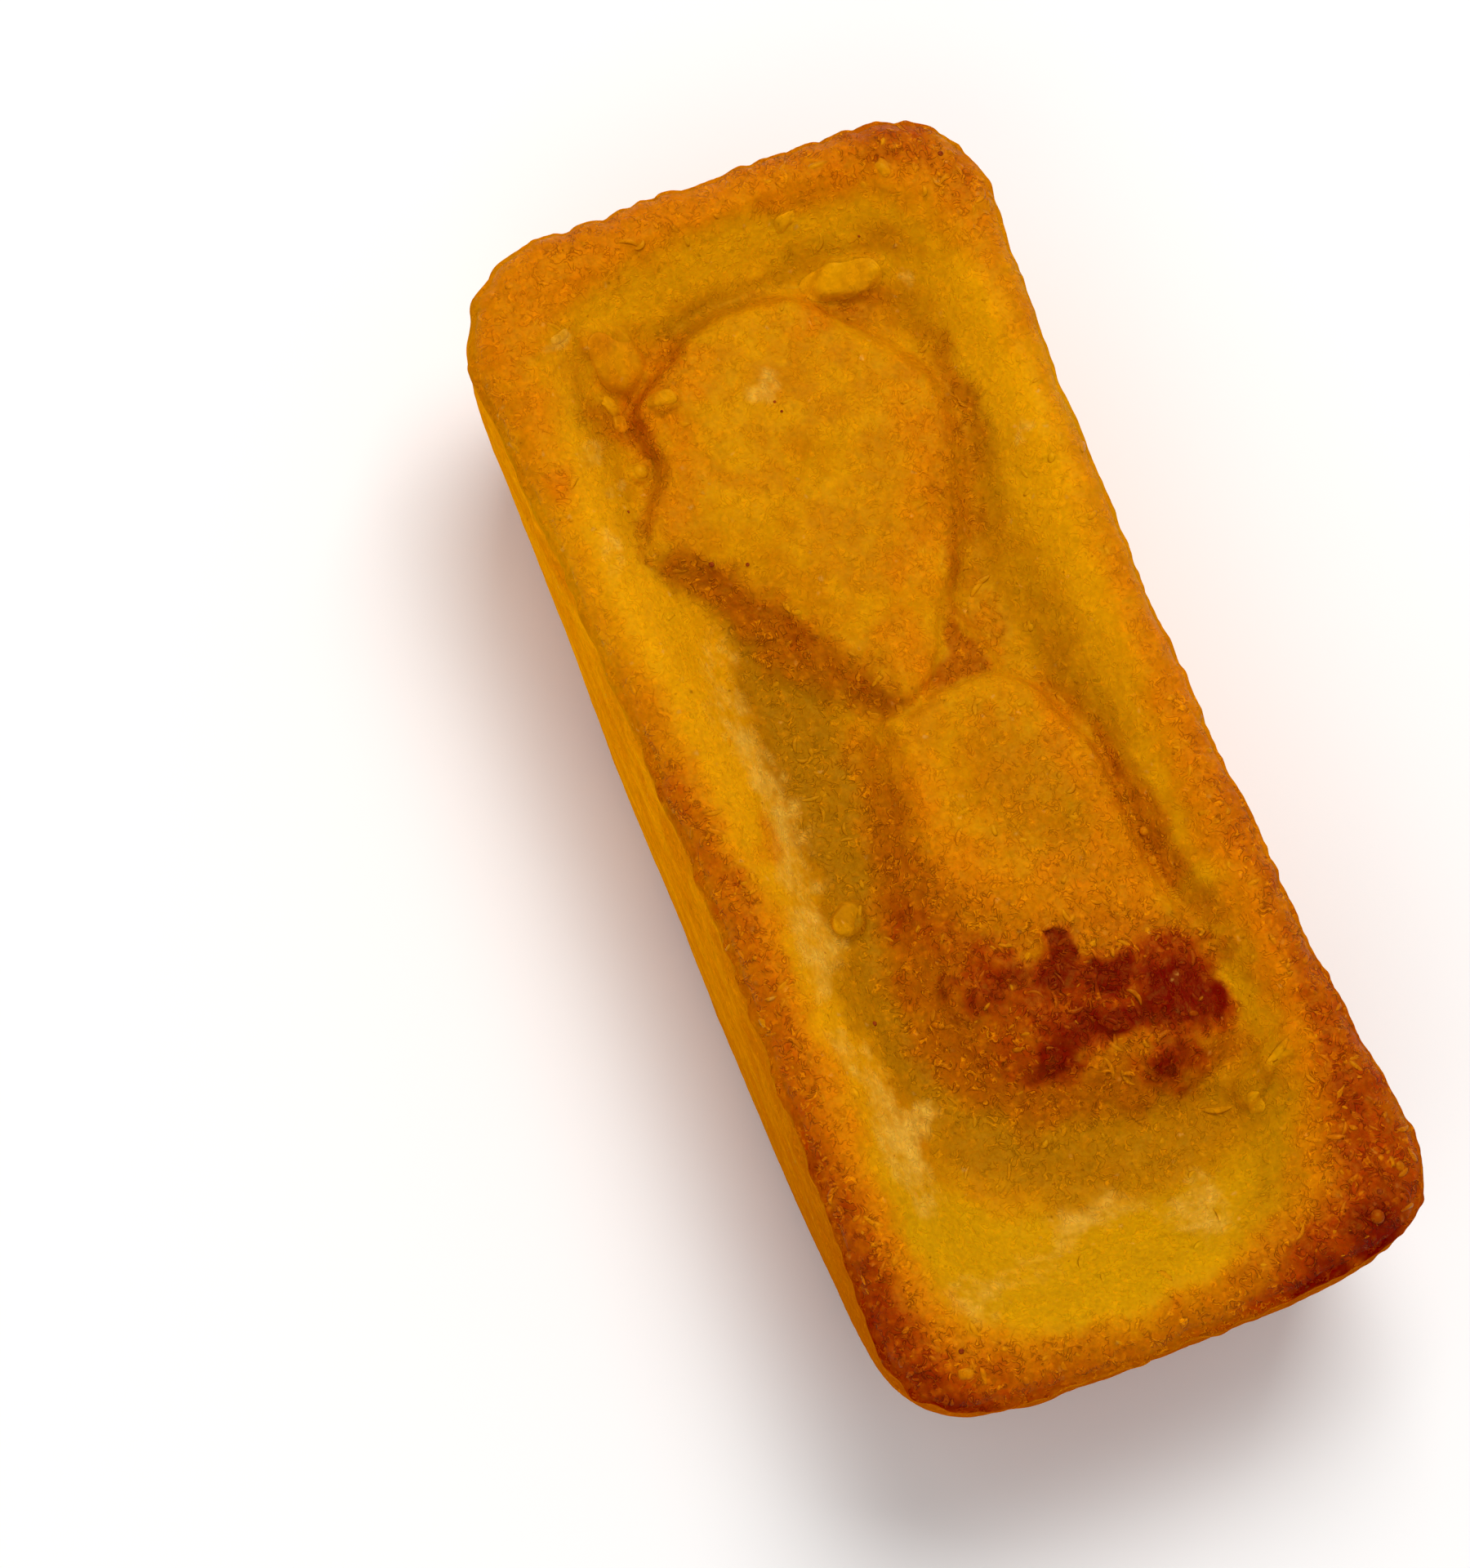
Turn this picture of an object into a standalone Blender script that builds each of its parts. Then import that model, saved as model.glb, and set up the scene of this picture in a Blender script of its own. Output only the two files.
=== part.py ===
"""A small loaf-shaped cassava cake: one baked piece with a raised browned rim, a sunken
middle and two puffed lumps of crust. Metres, +Z up, the long side along X, resting on z = 0.
Every size below is in millimetres and is turned into metres when the mesh is made."""

import itertools
import math

import bmesh
import bpy
import numpy as np

METRES = 0.001

# The whole cake
HEIGHT = 26.0
RIM_HALF_LENGTH = 50.8
RIM_HALF_WIDTH = 24.0
RIM_CORNERS = {(-1, -1): 10.4, (-1, 1): 9.6, (1, 1): 7.8, (1, -1): 6.8}
LEFT_BULGE = 0.6
RIGHT_BULGE = 2.4
FRONT_WAIST = 1.9
BACK_WAIST = 2.8
BASE_HALF_LENGTH = 47.4
BASE_HALF_WIDTH = 20.4
BASE_CORNER = 10.5
BASE_FILLET = 3.2
BASE_SWELL = 1.3
BASE_SKEW = 0.5
WALL_BARREL = 0.5
RIM_SHIFT = (RIGHT_BULGE - LEFT_BULGE) / 2
BASE_SHIFT = 0.3

# The rim: its rounded outer edge, its crest and the slope down to the sunken middle
EDGE_WIDTH = 3.0
EDGE_DROP = 2.0
CREST_INSET = 3.0
CREST_CORNER = 11.0
FLOOR_Z = 20.4
FLOOR_LEFT = -40.6
FLOOR_RIGHT = 37.0
FLOOR_FRONT = -11.6
FLOOR_BACK = 11.6
FLOOR_CORNER = 8.0

# The floor of the recess between the two puffed lumps, and the lumps. Each has a level at its
# middle, a tilt along x and y, and a crown. An outline point is x, y, the width of the edge
# below it, and how soft that edge is: 0 is a crisp lip, 1 an even slope.
RECESS = {
    "level": 22.0,
    "middle": (-6.5, 4.5),
    "tilt": (0.0, 0.0),
    "crown": 0.0,
    "outline": [
        (-13.0, 4.8, 1.6, 0.7), (-11.0, 1.0, 1.6, 0.7), (-5.0, -1.4, 1.6, 0.7),
        (-1.0, 3.0, 1.6, 0.7), (-3.4, 7.6, 1.2, 0.7), (-9.4, 6.6, 1.2, 0.7),
    ],
}
LEFT_LUMP = {
    "level": 23.2,
    "middle": (-22.0, 0.0),
    "tilt": (0.0, -0.045),
    "crown": 0.9,
    "outline": [
        (-40.6, 4.0, 2.0, 0.7), (-41.0, -3.0, 1.8, 0.5), (-38.8, -7.2, 1.8, 0.4),
        (-35.4, -11.4, 1.4, 0.0), (-31.2, -11.4, 1.8, 0.5), (-28.0, -13.2, 1.8, 0.4),
        (-23.8, -14.9, 2.0, 0.0), (-22.2, -11.9, 3.6, 0.0), (-14.8, -6.4, 4.6, 0.1),
        (-5.6, -0.9, 3.2, 0.0), (-6.0, 1.2, 1.2, 0.0), (-8.2, 3.2, 0.8, 0.0),
        (-11.3, 5.0, 1.4, 0.4), (-17.0, 9.2, 3.6, 1.0), (-24.6, 12.8, 3.2, 1.0),
        (-31.2, 12.2, 2.4, 0.8), (-36.6, 7.6, 2.2, 0.6),
    ],
}
RIGHT_LUMP = {
    "level": 23.2,
    "middle": (14.0, 4.0),
    "tilt": (-0.01, 0.02),
    "crown": 1.3,
    "outline": [
        (-4.6, 3.2, 0.7, 0.0), (-4.6, -1.6, 1.6, 0.3), (-2.0, -3.6, 4.0, 1.0),
        (5.0, -5.2, 5.0, 1.0), (12.8, -7.6, 5.2, 1.0), (20.0, -8.2, 5.2, 1.0),
        (26.4, -6.2, 5.6, 1.0), (30.4, -0.8, 5.4, 1.0), (32.4, 7.2, 4.4, 1.0),
        (30.4, 13.2, 3.4, 1.0), (22.8, 14.4, 2.6, 0.8), (14.8, 12.4, 1.6, 0.3),
        (7.0, 12.2, 1.2, 0.1), (1.0, 11.1, 1.6, 0.4), (-3.6, 8.2, 1.2, 0.2),
    ],
}

# Ridges and furrows that run along a line: its points, width and height
LINES = [
    ([(-18.6, 9.6), (-16.2, 8.4), (-13.6, 6.8)], 1.2, 0.5),
    ([(-15.7, 8.1), (-12.5, 6.8), (-10.2, 6.4), (-7.6, 7.4), (-5.2, 8.2)], 1.2, 0.7),
    ([(-4.8, 1.4), (-4.3, -0.6), (-5.4, -3.4)], 1.1, -0.7),
    ([(1.6, 12.9), (8.0, 12.7), (14.0, 12.9), (19.4, 13.9)], 1.2, -0.5),
    ([(5.0, 14.6), (12.0, 14.9), (20.0, 15.4)], 1.8, 0.5),
    ([(31.4, 8.0), (33.6, 11.6), (33.2, 15.4), (31.2, 18.4)], 1.5, 0.6),
    ([(34.8, 8.4), (35.6, 12.0), (33.8, 16.4)], 1.3, 0.4),
    ([(-39.4, -8.6), (-36.6, -11.8), (-34.0, -12.8)], 1.4, -0.4),
]

# Flakes, crumbs and blisters: x, y, half length, half width, turn in degrees, height
SPOTS = [
    (-41.0, 9.3, 3.1, 1.7, 82, 0.9),
    (-40.9, -11.4, 2.8, 2.4, 20, 0.9),
    (-35.5, -9.5, 1.3, 1.0, 80, 0.7),
    (-31.2, -13.0, 1.2, 1.0, 0, 0.8),
    (9.9, -11.6, 1.9, 1.4, -30, 0.9),
    (20.0, -5.8, 2.2, 1.4, 25, 0.5),
    (25.4, 4.6, 1.6, 1.3, 0, 0.5),
    (24.6, 8.6, 1.8, 1.2, -20, 0.4),
    (31.0, 7.2, 1.8, 1.4, 15, 0.5),
    (34.6, 13.2, 1.9, 1.1, -60, 0.7),
    (33.0, 15.6, 2.4, 1.1, -55, 0.6),
    (47.4, -17.6, 1.2, 1.0, 0, 0.4),
    (48.6, 17.4, 1.3, 1.1, 0, 0.5),
    (-46.6, 14.6, 1.6, 1.0, 20, 0.4),
]

# How the relief is shaped: how far in a lump's crown rises, how steeply its lip drops, how
# softly it meets the slope behind it, and how wide the flank of a flake is
CROWN_REACH = 9.0
LIP_POWER = 1.6
LIP_MIN_WIDTH = 1.1
LUMP_BLEND = 0.2
FLANK_START = 0.65
FLANK_END = 1.35
LINE_FADE = 0.25

# Unevenness of the baked surface: bump size and depth on the top, the lumps, the rim's edge
# and the wall. Heights level off just below the top, over a range set by the blend.
TOP_ROLL = (9.0, 0.35)
TOP_CRAG = (3.6, 0.3)
LUMP_ROLL = (6.0, 0.4)
EDGE_WOBBLE = (4.2, 0.32)
WALL_WOBBLE = (13.0, 0.3)
ROLL_LOST_ON_RIM = 0.6
WOBBLE_DEPTH = 8.0
WOBBLE_LOW = 15.0
WOBBLE_HIGH = 23.0
NOISE_CELLS = 24
LIMIT_BLEND = 0.03

# The mesh
GRID_SPACING = 1.4
EDGE_STEPS = 4
WALL_STEPS = 4
FILLET_STEPS = 3
CURVE_STEPS = 6


def smooth_step(value):
    """A soft ramp from 0 to 1."""
    value = np.clip(value, 0.0, 1.0)
    return value * value * (3.0 - 2.0 * value)


def keep_below(z, limit):
    """Lets heights near the limit level off just below it."""
    room = limit - z
    return limit - 0.5 * (room + np.sqrt(room ** 2 + LIMIT_BLEND))


def soft_noise(x, y, z, size, seed):
    """Smooth noise between -1 and 1 whose bumps are about `size` across."""
    table = np.random.default_rng(seed).uniform(-1.0, 1.0, (NOISE_CELLS,) * 3)
    place = np.stack((x, y, z)) / size
    cell = np.floor(place).astype(int)
    share = smooth_step(place - cell)
    total = np.zeros(np.shape(x))
    for corner in itertools.product((0, 1), repeat=3):
        weight = np.ones(np.shape(x))
        for axis, step in enumerate(corner):
            weight = weight * (share[axis] if step else 1.0 - share[axis])
        index = [(cell[axis] + step) % NOISE_CELLS for axis, step in enumerate(corner)]
        total = total + weight * table[index[0], index[1], index[2]]
    return total


def rounded_box_distance(x, y, low, high, radius):
    """Distance outside a rectangle with round corners, negative inside it."""
    across_x = np.abs(x - (low[0] + high[0]) / 2) - (high[0] - low[0]) / 2 + radius
    across_y = np.abs(y - (low[1] + high[1]) / 2) - (high[1] - low[1]) / 2 + radius
    outside = np.hypot(np.maximum(across_x, 0.0), np.maximum(across_y, 0.0))
    return outside + np.minimum(np.maximum(across_x, across_y), 0.0) - radius


def press_corners(a, b, half_a, half_b, radius):
    """Presses a rectangle's square corners onto round ones, ring by ring."""
    past_a = np.abs(a) - (half_a - radius)
    past_b = np.abs(b) - (half_b - radius)
    reach = np.maximum(np.maximum(past_a, past_b), 1e-9)
    ratio = np.clip(np.minimum(past_a, past_b) / reach, 0.0, 1.0)
    turn = np.where(past_a >= past_b, ratio, 2.0 - ratio) * math.pi / 4
    in_corner = (past_a > 0.0) & (past_b > 0.0)
    round_a = np.sign(a) * (half_a - radius + reach * np.cos(turn))
    round_b = np.sign(b) * (half_b - radius + reach * np.sin(turn))
    return np.where(in_corner, round_a, a), np.where(in_corner, round_b, b)


def rim_radius(a, b):
    """The corner radius of the rim in the quarter where each point lies."""
    radius = np.zeros(np.shape(a))
    for (side_a, side_b), size in RIM_CORNERS.items():
        radius = np.where((np.sign(a) == side_a) & (np.sign(b) == side_b), size, radius)
    return radius


def rim_plan(a, b):
    """Plan position on the top: bulging ends, and long sides drawn in at mid length."""
    along = np.clip(1.0 - (a / RIM_HALF_LENGTH) ** 2, 0.0, 1.0)
    across = np.clip(1.0 - (b / RIM_HALF_WIDTH) ** 2, 0.0, 1.0)
    bulge = np.where(a > 0.0, RIGHT_BULGE, LEFT_BULGE)
    waist = np.where(b > 0.0, BACK_WAIST, FRONT_WAIST)
    x = a + bulge * across * a / RIM_HALF_LENGTH - RIM_SHIFT
    y = b - waist * along * b / RIM_HALF_WIDTH
    return x, y


def base_plan(a, b, inset):
    """Plan position on the base, drawn in by the inset: its long sides swell a little and it
    sits slightly askew below the rim."""
    half_length = BASE_HALF_LENGTH - inset
    half_width = BASE_HALF_WIDTH - inset
    scaled_a = a * half_length / RIM_HALF_LENGTH
    scaled_b = b * half_width / RIM_HALF_WIDTH
    x, y = press_corners(scaled_a, scaled_b, half_length, half_width, BASE_CORNER - inset)
    swell = BASE_SWELL * (1.0 - (x / half_length) ** 2) * y / half_width
    return x - BASE_SHIFT, y + swell - BASE_SKEW * x / half_length


def closed_curve(points):
    """A smooth closed curve through the points, with their extra columns carried along."""
    points = np.array(points)
    before = np.roll(points, 1, axis=0)
    after = np.roll(points, -1, axis=0)
    later = np.roll(points, -2, axis=0)
    curve = []
    for step in np.arange(CURVE_STEPS) / CURVE_STEPS:
        curve.append(0.5 * (2.0 * points + (after - before) * step
                            + (2.0 * before - 5.0 * points + 4.0 * after - later) * step ** 2
                            + (3.0 * points - before - 3.0 * after + later) * step ** 3))
    return np.stack(curve, axis=1).reshape(-1, points.shape[1])


def nearest_on_path(x, y, path, closed):
    """Distance to a path, and the path's extra columns at the nearest place."""
    starts = path if closed else path[:-1]
    ends = np.roll(path, -1, axis=0) if closed else path[1:]
    best = np.full(np.shape(x), np.inf)
    columns = [np.zeros(np.shape(x)) for _ in range(path.shape[1] - 2)]
    for start, end in zip(starts, ends):
        run_x, run_y = end[:2] - start[:2]
        share = ((x - start[0]) * run_x + (y - start[1]) * run_y) / (run_x ** 2 + run_y ** 2)
        share = np.clip(share, 0.0, 1.0)
        distance = np.hypot(x - start[0] - share * run_x, y - start[1] - share * run_y)
        closer = distance < best
        best = np.where(closer, distance, best)
        for index, column in enumerate(columns):
            value = start[index + 2] + share * (end[index + 2] - start[index + 2])
            columns[index] = np.where(closer, value, column)
    return best, columns


def inside_outline(x, y, path):
    """Whether each point lies inside a closed path, by counting the edges crossed."""
    inside = np.zeros(np.shape(x), dtype=bool)
    for start, end in zip(path, np.roll(path, -1, axis=0)):
        spans = (start[1] > y) != (end[1] > y)
        rise = end[1] - start[1]
        crossing = start[0] + (y - start[1]) * (end[0] - start[0]) / (rise if rise else 1e-9)
        inside ^= spans & (x < crossing)
    return inside


def lump_edge(x, y, lump):
    """Signed distance to the lump's outline, with its edge's width and softness there."""
    path = closed_curve(lump["outline"])
    distance, (width, softness) = nearest_on_path(x, y, path, closed=True)
    distance = np.where(inside_outline(x, y, path), -distance, distance)
    return distance, np.maximum(width, LIP_MIN_WIDTH), np.clip(softness, 0.0, 1.0)


def add_lump(x, y, z, lump, roll):
    """Lifts the surface to the lump's own uneven level, where that is higher."""
    distance, width, softness = lump_edge(x, y, lump)
    lip = np.clip(1.0 - distance / width, 0.0, 1.0) ** LIP_POWER
    slope = smooth_step(0.5 - distance / width)
    cover = lip * (1.0 - softness) + slope * softness
    crown = 1.0 - (1.0 - np.clip(-distance / CROWN_REACH, 0.0, 1.0)) ** 2
    level = lump["level"] + lump["tilt"][0] * (x - lump["middle"][0])
    level = level + lump["tilt"][1] * (y - lump["middle"][1])
    lift = level + roll + lump["crown"] * crown - z
    lift = 0.5 * (lift + np.sqrt(lift ** 2 + LUMP_BLEND))
    return z + cover * lift


def line_relief(x, y, points, width, height):
    """A rounded ridge, or a furrow where the height is negative, that fades at its ends."""
    path = np.array([(px, py, share) for (px, py), share in
                     zip(points, np.linspace(0.0, 1.0, len(points)))])
    distance, (share,) = nearest_on_path(x, y, path, closed=False)
    fade = smooth_step((np.minimum(share, 1.0 - share) + LINE_FADE / 4) / LINE_FADE)
    return height * fade * smooth_step(1.0 - distance / width)


def spot_relief(x, y, centre_x, centre_y, half_length, half_width, turn, height):
    """A low flat-topped mound."""
    angle = math.radians(turn)
    along = (x - centre_x) * math.cos(angle) + (y - centre_y) * math.sin(angle)
    across = (y - centre_y) * math.cos(angle) - (x - centre_x) * math.sin(angle)
    reach = np.hypot(along / half_length, across / half_width)
    return height * smooth_step((FLANK_END - reach) / (FLANK_END - FLANK_START))


def top_height(a, b, x, y):
    """Height of the top surface: rim, slopes, floor, lumps and the smaller relief."""
    edge = np.minimum(RIM_HALF_LENGTH - np.abs(a), RIM_HALF_WIDTH - np.abs(b))
    round_a, round_b = press_corners(a, b, RIM_HALF_LENGTH, RIM_HALF_WIDTH, rim_radius(a, b))
    crest_a = RIM_HALF_LENGTH - CREST_INSET
    crest_b = RIM_HALF_WIDTH - CREST_INSET
    to_crest = -rounded_box_distance(round_a, round_b, (-crest_a, -crest_b),
                                     (crest_a, crest_b), CREST_CORNER)
    to_floor = rounded_box_distance(round_a, round_b, (FLOOR_LEFT, FLOOR_FRONT),
                                    (FLOOR_RIGHT, FLOOR_BACK), FLOOR_CORNER)
    to_crest = np.maximum(to_crest, 0.0)
    to_floor = np.maximum(to_floor, 0.0)
    rise = smooth_step(to_floor / np.maximum(to_floor + to_crest, 1e-9))
    z = FLOOR_Z + (HEIGHT - FLOOR_Z) * rise
    roll = TOP_ROLL[1] * soft_noise(x, y, 0 * x, TOP_ROLL[0], 11)
    z = z + roll * (1.0 - ROLL_LOST_ON_RIM * rise)
    lump_roll = LUMP_ROLL[1] * soft_noise(x, y, 0 * x, LUMP_ROLL[0], 32)
    for lump in (RECESS, LEFT_LUMP, RIGHT_LUMP):
        z = add_lump(x, y, z, lump, lump_roll)
    for points, width, height in LINES:
        z = z + line_relief(x, y, points, width, height)
    for spot in SPOTS:
        z = z + spot_relief(x, y, *spot)
    z = z + TOP_CRAG[1] * soft_noise(x, y, z, TOP_CRAG[0], 12) * smooth_step(edge / EDGE_WIDTH)
    roundness = np.clip(1.0 - edge / EDGE_WIDTH, 0.0, 1.0)
    return keep_below(z, HEIGHT) - EDGE_DROP * (1.0 - np.sqrt(1.0 - roundness ** 2))


def grid_lines(half):
    """An even number of grid lines' gaps from -half to +half, closer along the rim's edge."""
    turns = np.arange(EDGE_STEPS) / EDGE_STEPS * math.pi / 2
    edge = half - EDGE_WIDTH * (1.0 - np.cos(turns))
    middle_gaps = 2 * round((half - EDGE_WIDTH) / GRID_SPACING)
    middle = np.linspace(EDGE_WIDTH - half, half - EDGE_WIDTH, middle_gaps + 1)
    return np.concatenate((-edge, middle, edge[::-1]))


def edge_walk(columns, rows):
    """Grid places round the outside, anticlockwise from above."""
    walk = [(i, 0) for i in range(columns)]
    walk += [(columns, j) for j in range(rows)]
    walk += [(i, rows) for i in range(columns, 0, -1)]
    walk += [(0, j) for j in range(rows, 0, -1)]
    return walk


def wobble(x, y, z):
    """Pushes points in or out, most on the rim's edge, as a baked edge is never straight."""
    angle = np.arctan2(y * RIM_HALF_LENGTH / RIM_HALF_WIDTH, x)
    near_rim = smooth_step((z - WOBBLE_LOW) / (WOBBLE_HIGH - WOBBLE_LOW))
    outer = rounded_box_distance(x, y, (-RIM_HALF_LENGTH, -RIM_HALF_WIDTH),
                                 (RIM_HALF_LENGTH, RIM_HALF_WIDTH), CREST_CORNER)
    at_edge = smooth_step(1.0 + outer / WOBBLE_DEPTH)
    push = EDGE_WOBBLE[1] * near_rim * soft_noise(x, y, z, EDGE_WOBBLE[0], 21)
    push = push + WALL_WOBBLE[1] * soft_noise(x, y, z, WALL_WOBBLE[0], 22)
    return x + push * at_edge * np.cos(angle), y + push * at_edge * np.sin(angle)


def cake_points(lines_a, lines_b):
    """Points of the top grid, of the rings down the wall, and of the coarser bottom grid."""
    a, b = np.meshgrid(lines_a, lines_b, indexing="ij")
    round_a, round_b = press_corners(a, b, RIM_HALF_LENGTH, RIM_HALF_WIDTH, rim_radius(a, b))
    x, y = rim_plan(round_a, round_b)
    z = top_height(a, b, x, y)
    x, y = wobble(x, y, z)
    rings = [np.stack((x, y, z), axis=-1).reshape(-1, 3)]

    walk = edge_walk(len(lines_a) - 1, len(lines_b) - 1)
    edge_a = np.array([lines_a[i] for i, j in walk])
    edge_b = np.array([lines_b[j] for i, j in walk])
    rim_a, rim_b = press_corners(edge_a, edge_b, RIM_HALF_LENGTH, RIM_HALF_WIDTH,
                                 rim_radius(edge_a, edge_b))
    rim_x, rim_y = rim_plan(rim_a, rim_b)
    base_x, base_y = base_plan(edge_a, edge_b, 0.0)
    rim_z = HEIGHT - EDGE_DROP
    for share in np.arange(1, WALL_STEPS + 1) / WALL_STEPS:
        swell = 1.0 + WALL_BARREL * math.sin(math.pi * share) / BASE_HALF_WIDTH
        ring_x = (rim_x + (base_x - rim_x) * share) * swell
        ring_y = (rim_y + (base_y - rim_y) * share) * swell
        ring_z = np.full(len(walk), rim_z + (BASE_FILLET - rim_z) * share)
        ring_x, ring_y = wobble(ring_x, ring_y, ring_z)
        rings.append(np.stack((ring_x, ring_y, ring_z), axis=-1))
    for turn in np.arange(1, FILLET_STEPS + 1) / FILLET_STEPS * math.pi / 2:
        ring_x, ring_y = base_plan(edge_a, edge_b, BASE_FILLET * (1.0 - math.cos(turn)))
        ring_z = np.full(len(walk), BASE_FILLET * (1.0 - math.sin(turn)))
        ring_x, ring_y = wobble(ring_x, ring_y, ring_z)
        rings.append(np.stack((ring_x, ring_y, ring_z), axis=-1))

    a, b = np.meshgrid(lines_a[::2], lines_b[::2], indexing="ij")
    x, y = base_plan(a, b, BASE_FILLET + GRID_SPACING)
    rings.append(np.stack((x, y, 0.0 * x), axis=-1).reshape(-1, 3))
    return rings


def grid_faces(columns, rows, first, upwards):
    """Faces of a grid whose points are numbered row by row from the first."""
    faces = []
    for i in range(columns):
        for j in range(rows):
            corner = first + i * (rows + 1) + j
            face = (corner, corner + rows + 1, corner + rows + 2, corner + 1)
            faces.append(face if upwards else face[::-1])
    return faces


def cake_faces(columns, rows, wall_rings):
    """Faces that join the top grid, the wall rings and the bottom grid into a closed skin."""
    faces = grid_faces(columns, rows, 0, upwards=True)
    upper = [i * (rows + 1) + j for i, j in edge_walk(columns, rows)]
    first = (columns + 1) * (rows + 1)
    for _ in range(wall_rings):
        lower = list(range(first, first + len(upper)))
        for k in range(len(upper)):
            after = (k + 1) % len(upper)
            faces.append((upper[k], lower[k], lower[after], upper[after]))
        upper = lower
        first += len(upper)
    columns //= 2
    rows //= 2
    coarse = [first + i * (rows + 1) + j for i, j in edge_walk(columns, rows)]
    for k in range(len(coarse)):
        after = (k + 1) % len(coarse)
        middle = upper[2 * k + 1]
        faces.append((upper[2 * k], coarse[k], middle))
        faces.append((middle, coarse[k], coarse[after]))
        faces.append((middle, coarse[after], upper[(2 * k + 2) % len(upper)]))
    return faces + grid_faces(columns, rows, first, upwards=False)


def crust_material():
    """Golden baked crust, slightly moist."""
    material = bpy.data.materials.new("cassava_crust")
    material.use_nodes = True
    shader = material.node_tree.nodes["Principled BSDF"]
    shader.inputs["Base Color"].default_value = (0.60, 0.24, 0.01, 1.0)
    shader.inputs["Roughness"].default_value = 0.5
    shader.inputs["Metallic"].default_value = 0.0
    return material


def make_cake():
    """The cake as one object, with the shorter diagonal across each four-sided face."""
    lines_a = grid_lines(RIM_HALF_LENGTH)
    lines_b = grid_lines(RIM_HALF_WIDTH)
    points = np.concatenate(cake_points(lines_a, lines_b)) * METRES
    faces = cake_faces(len(lines_a) - 1, len(lines_b) - 1, WALL_STEPS + FILLET_STEPS)
    mesh = bpy.data.meshes.new("cassava_cake")
    mesh.from_pydata(points.tolist(), [], faces)
    shape = bmesh.new()
    shape.from_mesh(mesh)
    bmesh.ops.triangulate(shape, faces=shape.faces, quad_method="SHORT_EDGE")
    shape.to_mesh(mesh)
    shape.free()
    mesh.shade_smooth()
    mesh.materials.append(crust_material())
    cake = bpy.data.objects.new("cassava_cake", mesh)
    bpy.context.scene.collection.objects.link(cake)
    return cake


for old in list(bpy.data.objects):
    bpy.data.objects.remove(old, do_unlink=True)

make_cake()
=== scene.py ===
"""The looks of a small loaf-shaped cassava cake: a finely modelled crust over the cake's
solid, crumbs and glassy grains on it, a pale floor, soft light and the camera.

Sizes of the cake are in millimetres, as named below, and become metres in the meshes."""

import itertools
import math

import bmesh
import bpy
import numpy as np
from mathutils import Matrix, Vector
from mathutils.bvhtree import BVHTree


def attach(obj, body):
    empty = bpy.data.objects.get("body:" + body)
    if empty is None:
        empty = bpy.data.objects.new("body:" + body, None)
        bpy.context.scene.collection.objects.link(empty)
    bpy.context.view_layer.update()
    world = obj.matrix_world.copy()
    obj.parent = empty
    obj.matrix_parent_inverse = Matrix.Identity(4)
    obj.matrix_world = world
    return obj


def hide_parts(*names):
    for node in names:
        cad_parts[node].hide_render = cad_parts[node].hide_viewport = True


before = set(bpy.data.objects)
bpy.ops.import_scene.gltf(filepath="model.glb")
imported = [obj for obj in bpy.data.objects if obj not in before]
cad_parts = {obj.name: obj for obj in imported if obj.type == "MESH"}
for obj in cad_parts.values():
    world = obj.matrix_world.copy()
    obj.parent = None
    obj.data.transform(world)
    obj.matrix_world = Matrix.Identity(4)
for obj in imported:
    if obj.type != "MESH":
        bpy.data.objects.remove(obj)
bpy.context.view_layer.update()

METRES = 0.001
NODE = "cassava_cake"

# The whole cake
HEIGHT = 26.0
TINY = 1e-9
RIM_HALF_LENGTH = 50.8
RIM_HALF_WIDTH = 24.0
RIM_CORNERS = {(-1, -1): 10.4, (-1, 1): 9.6, (1, 1): 7.8, (1, -1): 6.8}
LEFT_BULGE = 0.6
RIGHT_BULGE = 2.4
FRONT_WAIST = 1.9
BACK_WAIST = 2.8
BASE_HALF_LENGTH = 47.4
BASE_HALF_WIDTH = 20.4
BASE_CORNER = 10.5
BASE_FILLET = 3.2
BASE_SWELL = 1.3
BASE_SKEW = 0.5
WALL_BARREL = 0.5
RIM_SHIFT = (RIGHT_BULGE - LEFT_BULGE) / 2
BASE_SHIFT = 0.3

# The rim: its rounded outer edge, its crest and the slope down to the sunken middle
EDGE_WIDTH = 3.0
EDGE_DROP = 2.0
RIM_Z = HEIGHT - EDGE_DROP
WALL_TONE = (23.0, 24.0)
MOIST_TONE = (24.0, 25.0)
MOIST_FROM = 0.85
CREST_INSET = 3.0
CREST_CORNER = 11.0
FLOOR_Z = 20.4
FLOOR_LEFT = -40.6
FLOOR_RIGHT = 37.0
FLOOR_FRONT = -11.6
FLOOR_BACK = 11.6
FLOOR_CORNER = 8.0

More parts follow.
